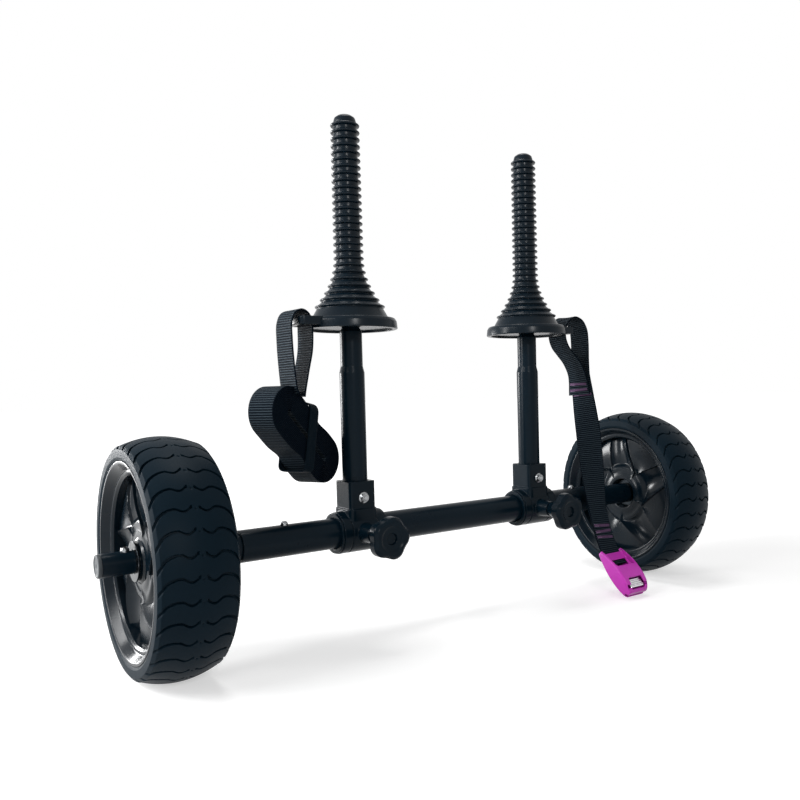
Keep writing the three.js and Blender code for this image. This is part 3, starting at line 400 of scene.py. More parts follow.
ridge = maths(weave, "MULTIPLY", maths(weave, "POWER", ridge, 0.8), on_the_face)
yarn_phase = maths(weave, "DIVIDE", across, weave_in.outputs["Yarn Pitch"])
yarn = maths(weave, "ABSOLUTE", maths(weave, "SINE", maths(weave, "MULTIPLY", yarn_phase, math.pi)))
yarn = maths(weave, "MULTIPLY", yarn, 0.28)
fluff = noise(weave, measure, 1.4, 5.0, 0.7)
height = maths(weave, "ADD", maths(weave, "ADD", ridge, yarn), maths(weave, "MULTIPLY", fluff, 0.10))
# Painted light: the crest highlight, broken a little by the yarns, mixes the two colours.
shade = maths(weave, "MULTIPLY", painted_crest_light, maths(weave, "ADD", yarn, 0.72))
feed(weave, weave_out, Height=height, Shade=shade, Fluff=fluff)

def woven(name, cloth_and_gap_shade, painted_crest_light, roughness, pitch=3.03, yarn_pitch=0.85, depth=0.9):
    """A woven finish: painted shade between the ridges and a painted highlight on their crests."""
    tree, shader = new_material(name)
    group = add_group(tree, weave, Ridge_Pitch=pitch, Yarn_Pitch=yarn_pitch)
    feed(tree, shader, Specular_IOR_Level=0.03, Sheen_Weight=0.004, Sheen_Roughness=0.5,
         Base_Color=mixed(tree, group.outputs["Shade"], cloth_and_gap_shade, painted_crest_light),
         Roughness=ramp_between(tree, group.outputs["Fluff"], *roughness),
         Normal=bump(tree, group.outputs["Height"], depth, 0.0006))

# Each finish gives two colours. The first is the cloth's dark colour, deepened into painted shade between the
# ridges. The second is the painted highlight on the crests.
woven("strap webbing", (0.0006, 0.0028, 0.0062), (0.042, 0.059, 0.072), (0.5, 0.7))
woven("keeper band", (0.0018, 0.0052, 0.0090), (0.0036, 0.0088, 0.0135), (0.5, 0.7), 1.3, 0.9, 0.4)
woven("bar tack thread", (0.10, 0.055, 0.11), (0.30, 0.20, 0.32), (0.45, 0.6), 0.9, 0.7, 0.7)
print("woven finishes:", ", ".join(list(finishes)[-3:]))

# %% [markdown]
# ## Crossbar and axle tubes
# Three sizes of tube slide into each other. The crossbar's ends are cut square and deburred, and the axle
# tube steps down to a stub for the wheel. Both are hollow, so their outlines go out and come back inside.

# %% Tubes
crossbar = turned("crossbar", [
    (-300, 16.25, 0.3), (-300, 19.05, 0.5), (300, 19.05, 0.5), (300, 16.25, 0.3)], "X", 128)
set_down("crossbar", crossbar, "tube paint", "crossbar", at(z=AXLE_Z), ["crossbar_tube"])

axle_tube = turned("axle tube", [
    (222, 13.1, 0.3), (222, 15.9, 0.5), (368.9, 15.9, 1.4), (370.4, 12.7, 0.2), (449, 12.7, 0.4),
    (449, 10.2, 0.2), (370.4, 10.2, 0.5), (367.4, 13.1, 0.5)], "X", 112)
axle_cap = turned_solid("axle cap", [
    (440.3, 0), (440.3, 9.9, 0.4), (449.3, 9.9, 0.2), (449.3, 12.7, 0.4), (453.3, 12.7, 1.6),
    (453.3, 10.2, 0.7), (452.6, 9.2, 0.5), (452.6, 3.0, 0.5), (452.2, 2.2, 0.3), (452.2, 0)], "X", 96)
set_down_both(
    ("axle_tube", axle_tube, "tube paint", "crossbar", on_axle, "axle_tube", "black_paint"),
    ("axle_end_cap", axle_cap, "grey cap plastic", "crossbar", on_axle, "axle_cap", "grey_plastic"))
print("tubes:", len(crossbar.vertices) + 2 * len(axle_tube.vertices), "points")

# %% [markdown]
# ## Snap buttons
# Sprung buttons lock the tubes and keep the wheels on. Each is a polished pin with a domed head in a drilled
# hole. The hole's edge is a thin dark ring round the pin.

# %% Buttons and the drilled edges round them
def button_mesh(name, foot, top):
    """A pin from its foot on the leaf spring to the top of its domed head."""
    return turned_solid(name, [(foot, 0), (foot, 4.75, 0.3), (top - 3.0, 4.75, 1.4), (top - 0.9, 3.9, 1.6),
                               (top, 1.6, 1.2), (top, 0)], "Z", 48)

def hole_edge(name, radius):
    """The chamfered edge of a hole drilled down through a tube of that radius."""
    turn = np.linspace(0, 2 * np.pi, 64, endpoint=False)[:, None]
    rings = np.array([(4.85, -1.2), (4.85, -0.2), (5.05, 0.12), (5.4, 0.16), (5.7, 0.03), (5.5, -1.2)])
    x, y = rings[:, 0] * np.cos(turn), rings[:, 0] * np.sin(turn)
    z = np.sqrt(radius ** 2 - y ** 2) + rings[:, 1]
    return grid_mesh(name, np.stack([x, y, z], -1), True, True, 30)

rows = []
for kind, x, foot, top, radius in (("crossbar", 242.0, 11.6, 23.55, 19.05),
                                   ("wheel", 424.05, 8.7, 17.2, 12.7)):
    pin, edge = button_mesh(f"{kind} button", foot, top), hole_edge(f"{kind} hole edge", radius)
    button = f"{kind}_button"
    rows.append((f"{kind}_snap_button", pin, "stainless steel", button, along_axle(x), button, "steel"))
    rows.append((f"{kind}_hole_edge", edge, "tube paint", "crossbar", along_axle(x), None, "black_paint"))
    print(kind, "button at", x, "mm from the middle")
set_down_both(*rows)

# %% [markdown]
# ## Washers and hub bushes
# The wheel turns on two flanged plastic bushes between steel washers. They are small, yet they sit in the
# middle of the wheel where the eye lands, so their edges are rounded as the real ones are.

# %% Washers and bushes
def ring_mesh(name, start, end, bore, outer, edge=0.4):
    """A flat ring from start to end along X."""
    return turned(name, [(start, bore, edge), (start, outer, edge), (end, outer, edge), (end, bore, edge)],
                  "X", 96)

inner_washer = ring_mesh("inner washer", 370.7, 372.7, 13.05, 22)
outer_washer = ring_mesh("outer washer", 414.3, 416.3, 13.05, 22)
outer_bush = turned("outer hub bush", [
    (12, 13.05, 0.3), (12, 15.35, 0.3), (26.7, 15.35), (26.7, 20, 0.5), (29, 20, 0.7), (29, 13.05, 0.5)],
    "X", 80)
inner_bush = turned("inner hub bush", [
    (5, 13.05, 0.3), (5, 15.35, 0.3), (-9.7, 15.35), (-9.7, 20, 0.5), (-12, 20, 0.7), (-12, 13.05, 0.5)],
    "X", 80)
set_down_both(
    ("washer_inside", inner_washer, "dull washer steel", "crossbar", on_axle, "inner_washer", "steel"),
    ("washer_outside", outer_washer, "dull washer steel", "crossbar", on_axle, "outer_washer", "steel"),
    ("bush_outside", outer_bush, "moulded plastic", "wheel", in_wheel, "outer_hub_bush", "black_plastic"),
    ("bush_inside", inner_bush, "moulded plastic", "wheel", in_wheel, "inner_hub_bush", "black_plastic"))
print("washers and bushes:", 2 * (len(inner_washer.vertices) + len(inner_bush.vertices)), "points to a wheel")

# %% [markdown]
# ## Tyres
# The tread is a row of wavy grooves that run from each shoulder towards the middle, where each ends in a
# small hook. A groove looks crisp only when the grid's own lines run along it. So we bend the grid first:
# every line of points across the tread follows the groove's wave, and the lines stand close together at its
# walls.

# %% Tread pattern
PITCHES = 36
PITCH = 2 * math.pi * RADIUS / PITCHES

def eased(knots, value, soften=1.3):
    """A smooth curve near the corners of a line through knots of (place, height)."""
    places, heights = np.array(knots, float).T
    fine = np.linspace(places[0] - 6, places[-1] + 6, 600)
    line = np.interp(fine, places, heights)
    kernel = np.exp(-((np.arange(-60, 61) * (fine[1] - fine[0]) / soften) ** 2))
    padded = np.concatenate([np.full(60, line[0]), line, np.full(60, line[-1])])
    return np.interp(value, fine, np.convolve(padded, kernel / kernel.sum(), "valid"))

def groove_wave(u):
    """How far a groove's middle line has moved round the tyre, at u across it."""
    knots = [(0, 1.4), (4, 1.4), (7, -1.6), (10.5, -3.4), (14, -2.4), (19, 1.2), (25, 1.0), (31, -1.4),
             (35, -4.8), (38, -10.0), (40.6, -17.0)]
    return eased(knots, np.abs(u)) + 0.7 * np.clip(u / 3.4, -1, 1)

def groove_depth(u, distance):
    """How far a point lies below the tread: u across the tyre, distance from the groove's middle line."""
    out = np.abs(u)
    half = eased([(0, 1.7), (4.4, 1.7), (6.5, 1.1), (24, 1.2), (33, 1.8), (38, 2.7), (40.6, 2.8)], out)
    wall = np.clip((half + 0.35 - np.abs(distance)) / 0.7, 0, 1)
    wall = wall * wall * (3 - 2 * wall)
    ends = np.clip((out - 3.0) / 0.9, 0, 1) * np.clip((40.6 - out) / 1.2, 0, 1)
    dot = np.exp(-((u ** 2 + (distance + 2.2) ** 2) / 0.9 ** 2))
    return 3.2 * wall * ends + 1.4 * dot

# %% Tyre
def tyre_outline():
    """(x, radius, share of groove) round the tyre's section, from one bead over the tread to the other."""
    across = np.concatenate([np.linspace(0, 5.6, 9), np.linspace(6.6, 35.5, 28)])
    crown = [(u, RADIUS - 8.1 * (u / 37) ** 2, 1.0) for u in across]
    shoulder = rounded([(35.5, RADIUS - 7.45), (38.0, 125.2, 1.2), (41, 121.0, 1.2), (41, 112.6, 1.4),
                        (39.4, 109.5, 0.6), (35.7, 109.5, 0.3), (35.7, 105.5, 0.4), (20, 105.5), (0, 105.5)],
                       steps=4)
    side = crown + [(x, r, 1.0 if r > 121.5 else 0.0) for x, r in shoulder[1:]]
    return np.array([(-x, r, g) for x, r, g in side[:0:-1]] + side[:-1])

section = tyre_outline()
stations = np.array([0, 0.5, 0.75, 1.0, 1.25, 1.5, 1.8, 2.1, 2.4, 2.75, 3.4, 4.6, 6.6, 9.0])
stations = np.concatenate([-stations[:0:-1], stations, [PITCH / 2]])
around = (np.arange(PITCHES)[:, None] * PITCH + stations[None, :]).reshape(-1, 1)
distance = np.tile(stations, PITCHES)[:, None]
u = np.clip(section[:, 0], -40.6, 40.6)[None, :]
sunk = section[:, 1] - groove_depth(section[:, 0][None, :], distance) * section[:, 2]
angles = (around + groove_wave(u)) / RADIUS
x = np.broadcast_to(section[:, 0], sunk.shape)
tyre = grid_mesh("tyre", np.stack([x, sunk * np.cos(angles), sunk * np.sin(angles)], -1), sharp=38)
print("tyre:", len(tyre.vertices), "points,", PITCHES, "grooves to a side,", round(PITCH, 1), "mm apart")
both_alike = {side: at(SIDES[side] * WHEEL_X, 0, AXLE_Z) @ half_turn("left") for side in SIDES}
set_down_both(("tyre_with_tread", tyre, "tyre rubber", "wheel", both_alike, "tyre", "tyre_rubber"))

# %% [markdown]
# ## Rims
# Five broad spokes swirl out of the hub. Between two of them lies a pocket like a twisted leaf: its floor is
# deepest beside one spoke, rises as it turns, and ends at a crisp step under the ridge of the next. The ridge
# is a straight line in the moulding. We write that line as an angle for every radius, bend the grid along it,
# and pack the grid's lines together where the step is. Both faces look alike, each from its own side.

# %% Lines of a pocket
POCKETS = 5
SECTOR = 360 / POCKETS
RING = 92.6  # the radius where the web meets the ring
RIM_TURN = 24.0  # degrees that the wheel has rolled on in the photograph
HUB_END, HUB_FULL = 27.0, 44.0  # radii over which the pockets fade out into the hub

STRAIGHT_FROM = 46.0  # the radius from which the two lines run straight

def ridge_angle(radius):
    """The angle of a spoke's crisp ridge in degrees: a straight line that passes 39 mm from the middle."""
    return 42.8 + np.degrees(np.arccos(39.1 / np.maximum(radius, STRAIGHT_FROM)))

def crease_share(radius):
    """Where the hollow ends in a crisp step, as a share of the turn from one ridge to the next."""
    step_angle = 135.2 - np.degrees(np.arccos(18.5 / np.maximum(radius, STRAIGHT_FROM)))
    return (step_angle - ridge_angle(radius) + SECTOR) / SECTOR

def soft_step(low, high, value):
    """0 below low, 1 above high and a smooth rise between."""
    t = np.clip((value - low) / (high - low), 0, 1)
    return t * t * (3 - 2 * t)

def web_drop(radius, share):
    """How far the face lies below the plane of the ridges: a hollow, a crisp step, then a shallow panel."""
    crease = crease_share(radius)
    arc = math.radians(SECTOR) * radius
    hollow = 10.5 * np.sin(0.78 * np.pi * np.clip(share / crease, 0, 1) ** 0.9)
    panel = 3.6 + 1.6 * np.sin(np.pi * np.clip((share - crease) / (1 - crease), 0, 1))
    drop = hollow + (panel - hollow) * soft_step(0.0, 1.3, (share - crease) * arc)
    drop = drop * soft_step(0.0, 1.1, (1 - share) * arc)
    shallow = np.minimum(drop, 3.1) * soft_step(HUB_END, HUB_FULL, radius)
    return shallow + (drop - shallow) * soft_step(41.0, 50.0, radius)

# %% Rim
def sector_stations():
    """Shares of the grid's way from one ridge to the next, packed at the ridge and at the crease half way."""
    near = [0, 0.0016, 0.0034, 0.0052, 0.0072, 0.0095, 0.0125, 0.0165, 0.022, 0.03, 0.041, 0.055]
    middle = np.linspace(0.072, 0.44, 20)
    crease = [0.456, 0.47, 0.482, 0.491, 0.497, 0.5]
    half = np.array(near + middle.tolist() + crease)
    return np.concatenate([half, 1 - half[-2:0:-1]])

def bent_share(station, radius):
    """The share of the sector that a grid line takes at a radius: half way it lies on the crease."""
    crease = crease_share(radius)
    crease = 0.5 + (crease - 0.5) * soft_step(HUB_END, HUB_FULL, radius)
    return np.where(station <= 0.5, station * 2 * crease, crease + (station - 0.5) * 2 * (1 - crease))

def rim_mesh():
    """The rim, row by row round the wheel; each row runs over the outer face, through the hub and back."""
    radii = np.concatenate([np.linspace(25.6, 41, 9), np.linspace(42.5, 58, 18), np.linspace(60, 90.6, 24),
                            [91.4, 92.0, 92.4, RING]])
    ring = rounded([(26.2, RING), (28.4, 92.8, 0.7), (31.4, 95.8, 2.6), (30.7, 98.8, 0.5), (31.5, 99.6, 0.5),
                    (40, 106, 1.6), (40, 109, 0.9), (36, 109, 0.5), (36, 105, 0.5), (18, 105)], steps=5)
    hub = rounded([(25, 25.4), (25, 25.0, 0.2), (27, 22.4, 0.9), (27, 15.7, 0.6), (8, 15.7), (-2, 15.7),
                   (-10, 15.7, 0.5), (-10, 22.4, 0.6), (-24.2, 24.0, 0.3), (-25, 25.4)], steps=4)
    steps = [np.linspace(a, b, 6, endpoint=False) for a, b in zip(hub[:-1], hub[1:])]
    fine_hub = np.concatenate(steps + [hub[-1:]])
    bend = ridge_angle(radii) - ridge_angle(RING)
    web = 25.0 + 4.5 * np.sin(np.pi * np.clip((radii - 36.0) / (RING - 36.0), 0, 1)) ** 0.8
    settle = np.linspace(0, 1, len(ring))
    turn = np.linspace(1, -1, len(fine_hub))
    rows = []
    for sector in range(POCKETS):
        for station in sector_stations():
            share, share_back = bent_share(station, radii), bent_share(1 - station, radii)
            outer = np.stack([web - web_drop(radii, share), radii, SECTOR * share + bend], 1)
            inner = np.stack([web_drop(radii, share_back) - web, radii, SECTOR * (1 - share_back) - bend], 1)
            front, back = share[-1], 1 - share_back[-1]
            edge = np.stack([ring[:, 0], ring[:, 1], SECTOR * (front + (station - front) * settle)], 1)
            far_edge = np.stack([-ring[:, 0], ring[:, 1], SECTOR * (back + (station - back) * settle)], 1)
            middle = np.stack([fine_hub[:, 0], fine_hub[:, 1], SECTOR * station + bend[0] * turn], 1)
            row = np.concatenate([edge[::-1], outer[::-1], middle, inner, far_edge[:-1]])
            rows.append(row + (0, 0, SECTOR * sector))
    rows = np.array(rows)
    x, r, a = rows[..., 0], rows[..., 1], np.radians(rows[..., 2] + RIM_TURN)
    return grid_mesh("rim", np.stack([x, r * np.cos(a), r * np.sin(a)], -1), True, True, 30)

rim = rim_mesh()
print("rim:", len(rim.vertices), "points in", POCKETS, "sectors")
set_down_both(("swirl_rim", rim, "rim plastic", "wheel", in_wheel, "rim", "rim_plastic"))

# %% [markdown]
# ## Cutting and joining
# The bracket and the buckle are moulded in one piece from simple forms. We join and cut closed meshes, then
# lay a fine even skin over the result and smooth it a little. That rounds every edge and fills every inner
# corner as a real mould does.

# %% Boolean helpers
def loose(name, mesh, place=Matrix()):
    """A helper object that is only needed while a shape is being made."""
    thing = bpy.data.objects.new(name, mesh)
    bpy.context.collection.objects.link(thing)
    move = place.copy()
    move.translation = place.translation * MM
    thing.matrix_world = move
    return thing

def moulded(name, base, added=(), removed=(), voxel=0.0, smooth=0, sharp=40):
    """One mesh from a base, the meshes joined to it and the meshes cut out of it."""
    body = loose(name, base)
    helpers = []
    for operation, meshes in (("UNION", added), ("DIFFERENCE", removed)):
        for mesh in meshes:
            helper = loose("helper", mesh)
            helpers.append(helper)
            step = body.modifiers.new(operation.lower(), "BOOLEAN")
            step.operation = operation
            step.object = helper
            step.solver = "MANIFOLD"
    if voxel:
        remesh = body.modifiers.new("even skin", "REMESH")
        remesh.mode = "VOXEL"
        remesh.voxel_size = voxel * MM
        soften = body.modifiers.new("soften", "SMOOTH")
        soften.factor = 0.5
        soften.iterations = smooth
    bpy.context.view_layer.update()
    result = bpy.data.meshes.new_from_object(body.evaluated_get(bpy.context.evaluated_depsgraph_get()))
    result.name = name
    for thing in [body, *helpers]:
        bpy.data.objects.remove(thing)
    result.shade_smooth()
    result.set_sharp_from_angle(angle=math.radians(sharp))
    return result

def rounded_rectangle(width, height, corner, steps=6):
    """Points round a rectangle with rounded corners, counter-clockwise."""
    points = []
    for quarter, (sx, sy) in enumerate(((1, 1), (-1, 1), (-1, -1), (1, -1))):
        for step in range(steps + 1):
            angle = (quarter + step / steps) * math.pi / 2
            points.append((sx * (width / 2 - corner) + corner * math.cos(angle),
                           sy * (height / 2 - corner) + corner * math.sin(angle)))
    return np.array(points)

def block_mesh(name, outline, low, high, axis="Z", sharp=40):
    """An outline pushed straight along an axis."""
    count = len(outline)
    spot = "XYZ".index(axis)
    points = [(*p[:spot], h, *p[spot:]) for h in (low, high) for p in outline]
    faces = [list(range(count)), list(range(2 * count - 1, count - 1, -1))]
    faces += [[i, (i + 1) % count, (i + 1) % count + count, i + count] for i in range(count)]
    return mesh_of(name, points, faces, sharp)

def box_mesh(name, low, high):
    """A box between two opposite corners."""
    (x0, y0, z0), (x1, y1, z1) = low, high
    return block_mesh(name, [(x0, y0), (x1, y0), (x1, y1), (x0, y1)], z0, z1)

def rod_mesh(name, axis, radius, low, high, steps=64, end_radius=None, x=0, z=0):
    """A rod or a cone along an axis, moved sideways by x and z."""
    end = end_radius or radius
    rod = turned_solid(name, [(low, 0), (low, radius), (high, end), (high, 0)], axis, steps)
    if x or z:
        rod.transform(at(x * MM, 0, z * MM))
    return rod

# %% [markdown]
# ## Brackets
# A block with rounded corners holds the post, and a sleeve below it holds the crossbar. A cone-shaped boss on
# the front carries the clamp screw. A shallow step round the sleeve marks where the collar meets the body.

# %% Bracket
block = block_mesh("block", rounded_rectangle(37, 40, 5), 0, 64.6)
sleeve = turned_solid("sleeve", [
    (-30, 0), (-30, 26.5), (-19, 26.5), (-19, 25.2), (-17.6, 25.2), (-17.6, 26.5), (17.6, 26.5), (17.6, 25.2),
    (19, 25.2), (19, 26.5), (30, 26.5), (30, 0)], "X", 128)
saddle = block_mesh("saddle", rounded_rectangle(40, 44, 7), -4, 30)
boss = rod_mesh("boss", "Y", 10.6, -46.8, 0, 64, 15.0)
bracket_bore = rod_mesh("bracket bore", "X", 21.9, -40, 40, 96)
post_socket = rod_mesh("post socket", "Z", 16.1, 24, 80, 96)
screw_hole = rod_mesh("screw hole", "Y", 6.3, -60, -15, 48)
bolt_hole = rod_mesh("bolt hole", "Y", 3.4, -40, 40, 32, z=BOLT_Z)
bracket = moulded("bracket", block, [sleeve, saddle, boss],
                  [bracket_bore, post_socket, screw_hole, bolt_hole], voxel=0.55, smooth=7, sharp=60)
print("bracket:", len(bracket.vertices), "points")

# %% Bracket bushes
def bracket_bush(name, end):
    """A flanged bush in one end of the sleeve: end is -1 or 1."""
    root, flange, tip = end * 30.3, end * 33.3, end * 8.3
    return turned(name, [(tip, 19.4, 0.3), (tip, 21.6, 0.3), (root, 21.6), (root, 25.5, 0.4),
                         (flange, 25.5, 1.0), (flange, 20.6, 0.5), (end * 32.6, 19.4, 0.3)], "X", 112)

left_bush, right_bush = bracket_bush("bush left", -1), bracket_bush("bush right", 1)
set_down_both(
    ("moulded_bracket", bracket, "moulded plastic", "post", on_post, "bracket", "black_plastic"),
    ("bush_at_left", left_bush, "moulded plastic", "slider", on_post, "bracket_left_bush", "black_plastic"),
    ("bush_at_right", right_bush, "moulded plastic", "slider", on_post, "bracket_right_bush",
     "black_plastic"))
print("bracket bushes:", len(left_bush.vertices), "points each")

# %% [markdown]
# ## Cross bolts
# A bolt pins each post in its bracket. On the front we see a flanged lock nut with the bolt's end in its
# middle. The nut's corners are bevelled by a cone, as on every real nut.

# %% Nut and bolt
ACROSS_FLATS = 10
corner = ACROSS_FLATS / math.sqrt(3)
hexagon = [(corner * math.cos(a), corner * math.sin(a)) for a in np.arange(6) * math.pi / 3]
nut_body = block_mesh("nut body", hexagon, -25.2, -20.3, "Y")
nut_flange = turned_solid("nut flange", [
    (-20.3, 0), (-20.3, 7.0, 0.3), (-21.3, 7.0, 0.3), (-22.4, 5.2, 0.4), (-22.4, 0)], "Y")
nut_collar = turned_solid("nut collar", [(-24.6, 0), (-24.6, 4.5, 0.2), (-26.3, 4.3, 0.5), (-26.3, 0)], "Y")
nut_trim = turned("nut trim", [(-23.8, 6.0), (-27.0, 3.6), (-27.0, 9.0), (-23.8, 9.0)], "Y", 64)
nut_bore = rod_mesh("nut bore", "Y", 3.25, -30, -10, 40)
nut = moulded("lock nut", nut_body, [nut_flange, nut_collar], [nut_trim, nut_bore], sharp=30)
bolt = turned_solid("cross bolt", [
    (-27.3, 0), (-27.3, 2.5, 0.2), (-26.8, 3.0, 0.2), (20.2, 3.0), (20.3, 5.25, 0.4), (22.4, 5.25, 1.2),
    (23.8, 3.4, 0.4), (23.8, 2.8), (21.8, 2.6), (21.8, 0)], "Y", 48)
set_down_both(
    ("lock_nut", nut, "stainless steel", "post", up_post(BOLT_Z), "post_nut", "steel"),
    ("cross_bolt", bolt, "stainless steel", "post", up_post(BOLT_Z), "post_bolt", "steel"))
print("lock nut:", len(nut.vertices), "points")

# %% [markdown]
# ## Clamp knobs
# A five-lobed knob drives a screw through a brass insert and presses a pad on the crossbar. Behind the head a
# cone narrows down to the bracket. Its outline is a circle that dips five times. We stack such outlines, each
# a little smaller towards the faces, so that the edge rolls over as it does on a moulded knob.

# %% Knob
LOBES = 5

def knob_mesh():
    """The knob's head and neck: outlines stacked along Y, each dipping between the lobes."""
    turn = np.linspace(0, 2 * np.pi, 240, endpoint=False)
    dip = (0.5 - 0.5 * np.cos(LOBES * turn)) ** 1.3
    rows = []
    profile = rounded([(-47.9, 0, 0), (-47.9, 9.8, 0.8), (-52, 11.2, 1.0), (-69.9, 17.8, 3.0),
                       (-70.3, 23.2, 1.2), (-73.4, 26.4, 2.2), (-84.4, 26.3, 2.6), (-88.0, 22.4, 3.2),
                       (-88.0, 16.4, 1.6), (-86.6, 13.4, 2.0), (-86.2, 7.4, 1.0), (-82.8, 6.4, 0.7),
                       (-82.8, 0, 0)], steps=6)
    for y, radius in profile:
        lobed = np.clip((radius - 15.0) / 8.0, 0, 1)
        inner = radius - 2.9 * dip * lobed ** 1.2
        rows.append(np.stack([inner * np.sin(turn), np.full_like(turn, y), inner * np.cos(turn)], -1))
    return grid_mesh("knob", np.array(rows), False, True, 50)

knob = knob_mesh()
screw = turned_solid("clamp screw", [
    (-22.6, 0), (-22.6, 2.3, 0.2), (-26.9, 2.5, 0.3), (-27.0, 4.0, 0.4), (-79.1, 4.0, 0.4), (-79.1, 0)],
    "Y", 48)
pad = turned_solid("clamp pad", [(-19.4, 0), (-19.4, 5.4, 0.6), (-26.4, 5.4, 0.5), (-26.4, 0)], "Y", 48)
insert = turned("clamp insert", [(-47, 4.35, 0.3), (-47, 6.0, 0.4), (-35, 6.0, 0.3), (-35, 4.35, 0.3)],
                "Y", 48)
KNOB_TURN = {"left": 16, "right": -8}  # degrees, as the two knobs were left standing
as_left = {side: on_post[side] @ Matrix.Rotation(math.radians(KNOB_TURN[side]), 4, "Y") for side in SIDES}
set_down_both(
    ("lobed_knob", knob, "moulded plastic", "knob", as_left, "clamp_knob", "black_plastic"),
    ("knob_screw", screw, "stainless steel", "knob", on_post, "clamp_screw", "steel"),
    ("pressure_pad", pad, "turned brass", "clamp", on_post, "clamp_pad", "brass"),
    ("brass_insert", insert, "turned brass", "post", on_post, "clamp_insert", "brass"))
print("knob:", len(knob.vertices), "points")

# %% [markdown]
# ## Posts
# Each post is a tube whose upper part was drawn down to a smaller diameter. The short taper between the two
# catches the light. A smaller tip, hidden in the rubber, carries the plug.

# %% Posts
low, swage, plug_floor = 24.3, 335 - AXLE_Z, FLANGE_Z - AXLE_Z + 2.7  # heights above the axle
tip = plug_floor + 217
post = turned("post", [
    (low, 13.9, 0.3), (low, 15.9, 0.4), (swage, 15.9, 3.5), (swage + 8, 14, 3.5), (plug_floor - 5, 14, 0.5),
    (plug_floor, 11), (tip, 11, 0.5), (tip, 9, 0.3), (plug_floor - 0.5, 9), (plug_floor - 6, 12),
    (swage + 8, 12, 2), (swage, 13.9, 2)], "Z", 112)
set_down_both(("swaged_post", post, "tube paint", "post", on_post, "post_tube", "black_paint"))
print("post:", round(tip - low), "mm long")

# %% [markdown]
# ## Scupper plugs
# The plug is soft black rubber: a column of thin ribs that spread into a cone above a flat flange. Each rib
# has a blunt rim, a sloping top and an undercut below, so the stack reads as crisp dark lines. An ear on one
# side has a slot for the strap.

# %% Plug
RIBS = 27
RIB_PITCH = 8.71
FIRST_RIB = 28.4
FLARED = 7  # ribs that belong to the cone

def rib_radius(rib):
    """The column narrows a little towards its top and spreads out into the cone at its foot."""
    flare = max(0.0, 1 - rib / FLARED) ** 2
    return 19.6 + (18.3 - 19.6) * rib / (RIBS - 1) + 24.7 * flare

def plug_outline():
    """The plug's outline from the axis below the flange, over the ribs, to the top of the dome."""
    corners = [(220.3, 0), (220.3, 11.3), (3.0, 11.3, 0.4), (3.0, 53.0, 0.8), (0, 53.0, 0.6), (0, 59.6, 1.6),
               (9.6, 58.6, 3.5), (13.8, 56.0, 3.0), (13.8, 48.8, 1.5)]
    for rib in range(RIBS):
        z = FIRST_RIB + rib * RIB_PITCH
        radius = rib_radius(rib)
        flare = max(0.0, 1 - rib / FLARED)
        valley = radius - 3.5 + 1.0 * flare
        corners += [(z - 2.1, valley - 0.1, 0.7), (z - 1.0, radius - 0.6, 0.5), (z + 0.3, radius, 0.8),
                    (z + 1.5, radius - 0.9 - 0.6 * flare, 0.6), (z + 2.2, valley - 0.2 - 1.2 * flare, 0.8)]
    top = FIRST_RIB + (RIBS - 1) * RIB_PITCH
    corners += [(top + 4.6, 14.3, 1.2), (top + 9.4, 13.0, 3.0), (top + 12.6, 8.6, 3.0), (top + 12.9, 0)]
    return corners

cone = turned_solid("cone", plug_outline(), "Z", 128, sharp=60)

# %% Ear with a slot
def loop_plate(name, outer, inner, low, high, edge):
    """A plate between an outer and an inner outline of as many points, with rounded edges."""
    rows = []
    for outside, inside in zip(outer, inner):
        width = np.linalg.norm(outside - inside)
        profile = rounded([(low, 0, edge), (low, width, edge), (high, width, edge), (high, 0, edge)], True, 3)
        rows.append([(*(inside + (outside - inside) * share / width), z) for z, share in profile])
    return grid_mesh(name, np.array(rows), True, True, 40)

outer = rounded_rectangle(52, 48, 7, 8) + (54, 0)
slot = rounded_rectangle(6.8, 41, 2.6, 8) + (64.8, 0)
ear = loop_plate("ear", outer, slot, 3.2, 13.5, 1.6)
work = bmesh.new()
work.from_mesh(cone)
work.from_mesh(ear)
work.to_mesh(cone)
work.free()
print("plug:", len(cone.vertices), "points")
ear_outwards = {side: at(POST_X[side], 0, FLANGE_Z) @ half_turn(side) for side in SIDES}
set_down_both(("ribbed_plug", cone, "plug rubber", "post", ear_outwards, "scupper_plug", "plug_rubber"))

# %% [markdown]
# ## Straps
# A strap is a flat ribbon that follows a path. At each step we need the way along and the way across, and the
# face follows from the two. The section is a flat oval, because webbing has soft edges. The ribbon keeps its
# true length, and the weave is measured along it.

# %% Ribbons
def smooth_path(points, spacing):
    """A smooth curve through points, with steps of even length."""
    points = np.array(points, float)
    chord = np.concatenate([[0], np.cumsum(np.sqrt(np.linalg.norm(np.diff(points, axis=0), axis=1)))])
    fine = np.linspace(0, chord[-1], 4000)
    tangents = np.gradient(points, chord, axis=0)
    cell = np.clip(np.searchsorted(chord, fine, "right") - 1, 0, len(points) - 2)
    span = chord[cell + 1] - chord[cell]
    t = ((fine - chord[cell]) / span)[:, None]
    a, b = points[cell], points[cell + 1]
    ta, tb = tangents[cell] * span[:, None], tangents[cell + 1] * span[:, None]
    line = ((2 * t ** 3 - 3 * t ** 2 + 1) * a + (t ** 3 - 2 * t ** 2 + t) * ta
            + (-2 * t ** 3 + 3 * t ** 2) * b + (t ** 3 - t ** 2) * tb)
    length = np.concatenate([[0], np.cumsum(np.linalg.norm(np.diff(line, axis=0), axis=1))])
    steps = np.linspace(0, length[-1], max(8, int(length[-1] / spacing)))
    return np.stack([np.interp(steps, length, line[:, k]) for k in range(3)], 1), steps

def unit(rows):
    """Each row brought to a length of one."""
    return rows / np.linalg.norm(rows, axis=-1, keepdims=True)

def measure_cloth(mesh, marks):
    """Write the strap's own measure, across and along, for each corner of each face."""
    corner = np.empty(len(mesh.loops), int)
    mesh.loops.foreach_get("vertex_index", corner)
    mesh.uv_layers.new(name="cloth").data.foreach_set("uv", np.asarray(marks, np.float32)[corner].ravel())

